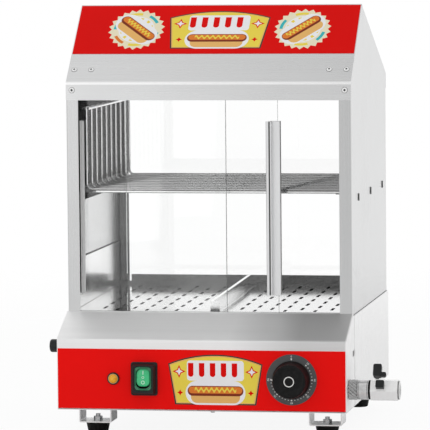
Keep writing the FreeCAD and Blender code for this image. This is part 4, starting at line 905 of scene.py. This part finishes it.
def makeRocker(plan, stand):
    pivot = Vector((0, 0, plan["pivot"])) * millimetre
    lift = Vector((0, plan["lift"], 0)) * millimetre
    turn = Matrix.Rotation(math.radians(-plan["tilt"]), 4, "X")
    rocker = stand @ Matrix.Translation(lift - pivot) @ turn @ Matrix.Translation(pivot)

    def loop(inset):
        width, tall, corner = plan["rocker"]
        return roundedRect(width - 2 * inset, tall - 2 * inset, corner - inset * plan["cornerShare"], 8)

    def crowned(height):
        across, up = plan["crown"]
        return lambda x, y: plan["rockerFace"] + height - up * y * y - across * x * x

    layers = [(loop(inset), height) for inset, height in plan["rockerSide"]]
    layers += [(loop(inset), crowned(height)) for inset, height in plan["rockerTop"]]
    loftedPiece("rockerBody", rocker, layers, "greenClear", "rocker", "green_plastic", 50,
                ("switch_rocker",))
    low, high = (crowned(height) for height in plan["markSpan"])
    marks = bmesh.new()
    bar = roundedRect(*plan["bar"], 3, (0, plan["barUp"]))
    loft(marks, rocker, [(bar, low), (bar, high)])
    for up, outer, inner in plan["rings"]:
        loftRing(marks, rocker, disc(0, up, outer, 28), disc(0, up, inner, 28), low, high)
    finishPiece("rockerMarks", marks, "inkPaleGreen", "rocker", "green_plastic")


switchStand = frontStand(*switchPlan["place"], switchPlan["face"])
makeBezel(switchPlan, switchStand)
makeBoot(switchPlan, switchStand)
makeRocker(switchPlan, switchStand)

# Indicator lamp: black ring, plated inner collar and a stepped amber lens, all as profiles
lampPlan = {
    "place": (-113.6, 79.5), "face": 66.5,
    "ring": ((5.65, 0.02), (8.0, 0.02), (8.0, 1.2), (7.5, 1.95), (6.9, 2.2), (6.5, 2.2), (5.65, 1.6)),
    "collar": ((5.55, 1.3), (6.4, 2.1), (6.25, 2.45), (5.8, 2.5), (5.55, 2.2)),
    "lens": ((0, 0.3), (5.5, 0.3)), "dome": (5.5, 2.2, 3.956, 60, 10),
    "cap": ((3.1, 5.95), (2.7, 5.65), (2.3, 5.9), (1.6, 6.4), (0.8, 6.5), (0, 6.5)),
}


def makeIndicator(plan):
    stand = frontStand(*plan["place"], plan["face"])
    turnedPiece("lampRing", stand, plan["ring"], "blackPlastic", "cabinet", "black_plastic", 40,
                ("lamp_bezel",), closed=True)
    turnedPiece("lampCollar", stand, plan["collar"], "turnedBrass", "cabinet", "black_plastic", 40,
                closed=True)
    lens = [*plan["lens"], *dome(*plan["dome"]), *plan["cap"]]
    turnedPiece("lampLens", stand, lens, "amberClear", "cabinet", "amber_plastic", 30, ("lamp_lens",))


makeIndicator(lampPlan)
print("switch and lamp made")

# Drain fittings: a fluted union nut, a sleeve with turned grooves that hold dark rings of painted shade, and
# the dark ring at the outlet.
# Nut and sleeve are given by their start and end along the pipe, and grooves by shares of the sleeve.
drainPlan = {
    "axis": (-44, 66.4), "pipeRadius": 8.05,
    "nut": (187.5, 199.0), "nutRadius": 12.9, "flutes": 15, "flutePoints": 6, "fluteDepth": 1.2,
    "twist": 44, "slices": 8, "nutBevel": 0.8, "nutGap": (0.05, 0.02),
    "sleeve": (199.0, 213.3), "sleeveRadius": 12.6, "sleeveGap": 0.02,
    "sleeveEnd": ((-0.3, 0.02), (0, 0.3)), "grooveShares": (0.06, 0.16, 0.9),
    "groove": ((0, -0.4), (-0.5, -0.2), (-0.5, 0.2), (0, 0.4)),
    "grooveShadeRing": ((-1.2, -0.3), (-0.2, -0.3), (-0.2, 0.3), (-1.2, 0.3)),
    "outletSection": ((9.4, 250.3), (11.9, 250.3), (12.05, 250.6), (12.05, 252.55), (11.65, 252.95),
                      (9.7, 252.95), (9.4, 252.65)),
}


def makeUnionNut(plan, stand):
    def fluted(turn, shrink=0.0):
        outline = []
        for i in range(steps):
            angle = 2 * math.pi * i / steps
            depth = plan["fluteDepth"] * (0.5 + 0.5 * math.cos(plan["flutes"] * angle))
            radius = plan["nutRadius"] - shrink - depth
            outline.append((radius * math.cos(angle + turn), radius * math.sin(angle + turn)))
        return outline

    steps, slices, bevel = plan["flutes"] * plan["flutePoints"], plan["slices"], plan["nutBevel"]
    twist = math.radians(plan["twist"])
    bore = disc(0, 0, plan["pipeRadius"], steps)
    start, end = plan["nut"]
    first, last = start + plan["nutGap"][0], end - plan["nutGap"][1]
    layers = [(bore, first), (fluted(0, bevel), first)]
    for i in range(slices + 1):
        share = i / slices
        layers.append((fluted(twist * share), start + bevel + (end - start - 2 * bevel) * share))
    layers += [(fluted(twist, bevel), last), (bore, last)]
    loftedPiece("unionNut", stand, layers, "nutSteel", "cabinet", "chrome", 25, ("drain_nut",),
                closed=True)


def makeSleeve(plan, stand):
    start, end = plan["sleeve"]
    outer, hole, gap = plan["sleeveRadius"], plan["pipeRadius"], plan["sleeveGap"]
    middles = [start + (end - start) * share for share in plan["grooveShares"]]
    profile = [(hole, start + gap)] + moved(plan["sleeveEnd"], outer, start)
    for middle in middles:
        profile += moved(plan["groove"], outer, middle)
    profile += [(outer + out, end - up) for out, up in reversed(plan["sleeveEnd"])] + [(hole, end - gap)]
    turnedPiece("drainSleeve", stand, profile, "sleeveSteel", "cabinet", "chrome", 30,
                ("drain_sleeve",), closed=True)
    grooves = bmesh.new()
    for middle in middles:
        lathe(grooves, stand, moved(plan["grooveShadeRing"], outer, middle), closed=True)
    finishPiece("sleeveGrooveShade", grooves, "ringSteel", "cabinet", "chrome")


drainStand = standOn((0, *drainPlan["axis"]), (1, 0, 0), (0, 0, 1))
makeUnionNut(drainPlan, drainStand)
makeSleeve(drainPlan, drainStand)
turnedPiece("outletRing", drainStand, drainPlan["outletSection"], "ringSteel", "cabinet", "chrome",
            closed=True)
print("drain fittings made")

# A narrow dark strip along each liner's top edge at its hem: its darkness is a painted shadow
hemShadowPlan = {"thick": 1.6, "tall": 1.5, "corner": 0.4}


def makeLinerHem(name, plan):
    low, high = ((corner - cabinetOrigin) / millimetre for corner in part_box(name))
    side, edge = (-1, low.x) if low.x + high.x < 0 else (1, high.x)
    stand = standOn((edge - side * plan["thick"] / 2, low.y, high.z), (0, 1, 0), (0, 0, 1))
    profile = roundedRect(plan["thick"], plan["tall"], plan["corner"], 3)
    loftedPiece(name + "_hemShadow", stand, [(profile, 0.0), (profile, high.y - low.y)], "shadeBlackSteel",
                "cabinet", "steel")


makeLinerHem("side_liner_left", hemShadowPlan)
makeLinerHem("side_liner_right", hemShadowPlan)

# Blind rivets: a domed collar on a dark ring of painted shadow, with the mandrel's end in the middle darkened
# as painted shade, all as profiles
rivetPlan = {
    "slope": ((-178, 23.5), (-155.7, 23.5), (155.7, 23.5), (178, 23.5)),
    "band": ((-178, 445.6), (178, 445.6)),
    "headFoot": ((1.45, 0.01), (3.4, 0.01)), "dome": (3.4, 0.25, 1.05, 66, 9), "headHole": (1.45, 1.25),
    "core": ((0, 0.05), (1.43, 0.05), (1.43, 0.62), (0.6, 0.72), (0, 0.74)),
    "shadowRing": ((2.9, 0.0), (4.0, 0.0), (3.9, 0.3), (2.9, 0.32)),
}


def makeRivets(plan):
    skins = [(raised(stand, skinAbove(stand, "canopy")), plan[spots])
             for stand, spots in ((signStand, "slope"), (panelStand, "band"))]
    head = [*plan["headFoot"], *dome(*plan["dome"]), plan["headHole"]]
    heads, cores, shadowRings = bmesh.new(), bmesh.new(), bmesh.new()
    for skin, spots in skins:
        for spot in spots:
            lathe(heads, skin, head, 32, True, spot)
            lathe(cores, skin, plan["core"], 24, False, spot)
            lathe(shadowRings, skin, plan["shadowRing"], 32, True, spot)
    finishPiece("rivetHeads", heads, "rivetAluminium", "cabinet", "aluminium", 60, ("canopy_rivets",))
    finishPiece("rivetCores", cores, "shadeBlackSteel", "cabinet", "zinc", 60)
    finishPiece("rivetShadowRings", shadowRings, "ringSteel", "cabinet", "zinc", 60)


makeRivets(rivetPlan)

# Safety cut-out's reset cap on the left: a domed cap with a finger hollow and a grooved skirt
resetPlan = {
    "place": (-36, 117.4), "back": 190.3, "front": 202.35, "radius": 8.45, "edge": 2.6,
    "skirt": ((-0.6, 0), (0, 0.6), (0, 2.2), (-0.35, 2.5), (-0.35, 3.0), (0, 3.3)),
    "hollow": ((3.6, 0), (2.4, -0.35), (0, -0.5)),
}


def makeResetCap(plan):
    stand = standOn((0, *plan["place"]), (-1, 0, 0), (0, 0, 1))
    profile = [(0, plan["back"])] + moved(plan["skirt"], plan["radius"], plan["back"])
    profile += roundedEdge(plan["radius"], plan["front"], plan["edge"])
    profile += moved(plan["hollow"], 0, plan["front"])
    turnedPiece("resetCap", stand, profile, "blackPlastic", "reset_cap", "black_plastic", 40,
                ("reset_button",))


makeResetCap(resetPlan)
print("rivets and reset cap made")

# Room: a pale floor that fades out, a bright surround and weak softboxes
roomLook = {
    "floor": grey(0.95), "floorShade": 0.995, "floorGlow": 0.91, "floorRadius": 2.31, "floorFade": (1.1, 2.2),
    "front": 0.72, "back": 0.98, "ceiling": 0.66, "below": 0.72, "frontToBack": (-0.6, 0.6),
    "ceilingFade": (0.86, 0.97), "belowFade": (-0.5, -0.1),
}
lampLook = [
    {"name": "leftSoftbox", "place": (-1180, -2300, 700), "aim": (-100, 0, 250), "size": 1.4, "power": 3.0},
    {"name": "topSoftbox", "place": (-700, -500, 2300), "aim": (-50, 100, 300), "size": 1.5, "power": 1.6},
    {"name": "rightSoftbox", "place": (2200, 300, 900), "aim": (150, 100, 250), "size": 1.4, "power": 1.6},
]


def makeFloor():
    bm = bmesh.new()
    bmesh.ops.create_circle(bm, cap_ends=True, radius=roomLook["floorRadius"], segments=96)
    mesh = bpy.data.meshes.new("floor")
    bm.to_mesh(mesh)
    bm.free()
    floor = bpy.data.objects.new("floor", mesh)
    scene.collection.objects.link(floor)
    s = Shader("floorPaint")
    darker = shade(roomLook["floor"], roomLook["floorShade"])
    paint = s.blend(s.noise(3.0), darker, roomLook["floor"])
    s.link(paint, s.surface.inputs["Base Color"])
    s.set(Roughness=0.9, Specular_IOR_Level=0.1)
    glow = s.add("ShaderNodeEmission")
    lit = s.add("ShaderNodeMixShader")
    s.link(s.remap(s.seen(), 0, 1, 0, roomLook["floorGlow"]), lit.inputs["Fac"])
    s.link(s.surface.outputs[0], lit.inputs[1])
    s.link(glow.outputs[0], lit.inputs[2])
    away = s.add("ShaderNodeVectorMath", operation="LENGTH")
    s.link(s.place((1, 1, 0)), away.inputs[0])
    fade = s.add("ShaderNodeMixShader")
    s.link(s.remap(away.outputs["Value"], *roomLook["floorFade"]), fade.inputs["Fac"])
    s.link(lit.outputs[0], fade.inputs[1])
    s.link(s.add("ShaderNodeBsdfTransparent").outputs[0], fade.inputs[2])
    s.link(fade.outputs[0], s.output.inputs["Surface"])
    mesh.materials.append(s.material)


# The surround is white to the camera, and as a light it is brighter behind the object than in front
def makeWorld():
    world = bpy.data.worlds.new("surround")
    scene.world = world
    world.use_nodes = True
    w = NodeTree(world.node_tree)
    smooth = {"interpolation_type": "SMOOTHSTEP"}
    direction = w.add("ShaderNodeTexCoord").outputs["Generated"]
    backward, upward = w.part(direction, "Y"), w.part(direction, "Z")
    level = w.remap(backward, *roomLook["frontToBack"], roomLook["front"], roomLook["back"], **smooth)
    ceiling = w.remap(upward, *roomLook["ceilingFade"], **smooth)
    level = w.blend(ceiling, level, grey(roomLook["ceiling"]))
    ground = w.remap(upward, *roomLook["belowFade"], 1, 0, **smooth)
    level = w.blend(ground, level, grey(roomLook["below"]))
    background = w.add("ShaderNodeBackground")
    w.link(w.blend(w.seen(), level, grey(1.0)), background.inputs["Color"])
    w.link(background.outputs[0], w.add("ShaderNodeOutputWorld").inputs[0])


def makeLamps():
    for plan in lampLook:
        data = bpy.data.lights.new(plan["name"], "AREA")
        data.shape = "SQUARE"
        data.size = plan["size"]
        data.energy = plan["power"]
        lamp = bpy.data.objects.new(plan["name"], data)
        scene.collection.objects.link(lamp)
        lamp.location = at(*plan["place"])
        aim = at(*plan["aim"]) - lamp.location
        lamp.rotation_euler = aim.to_track_quat("-Z", "Y").to_euler()
        lamp.visible_camera = False


makeFloor()
makeWorld()
makeLamps()
scene.view_settings.view_transform = "Standard"
print("room ready")
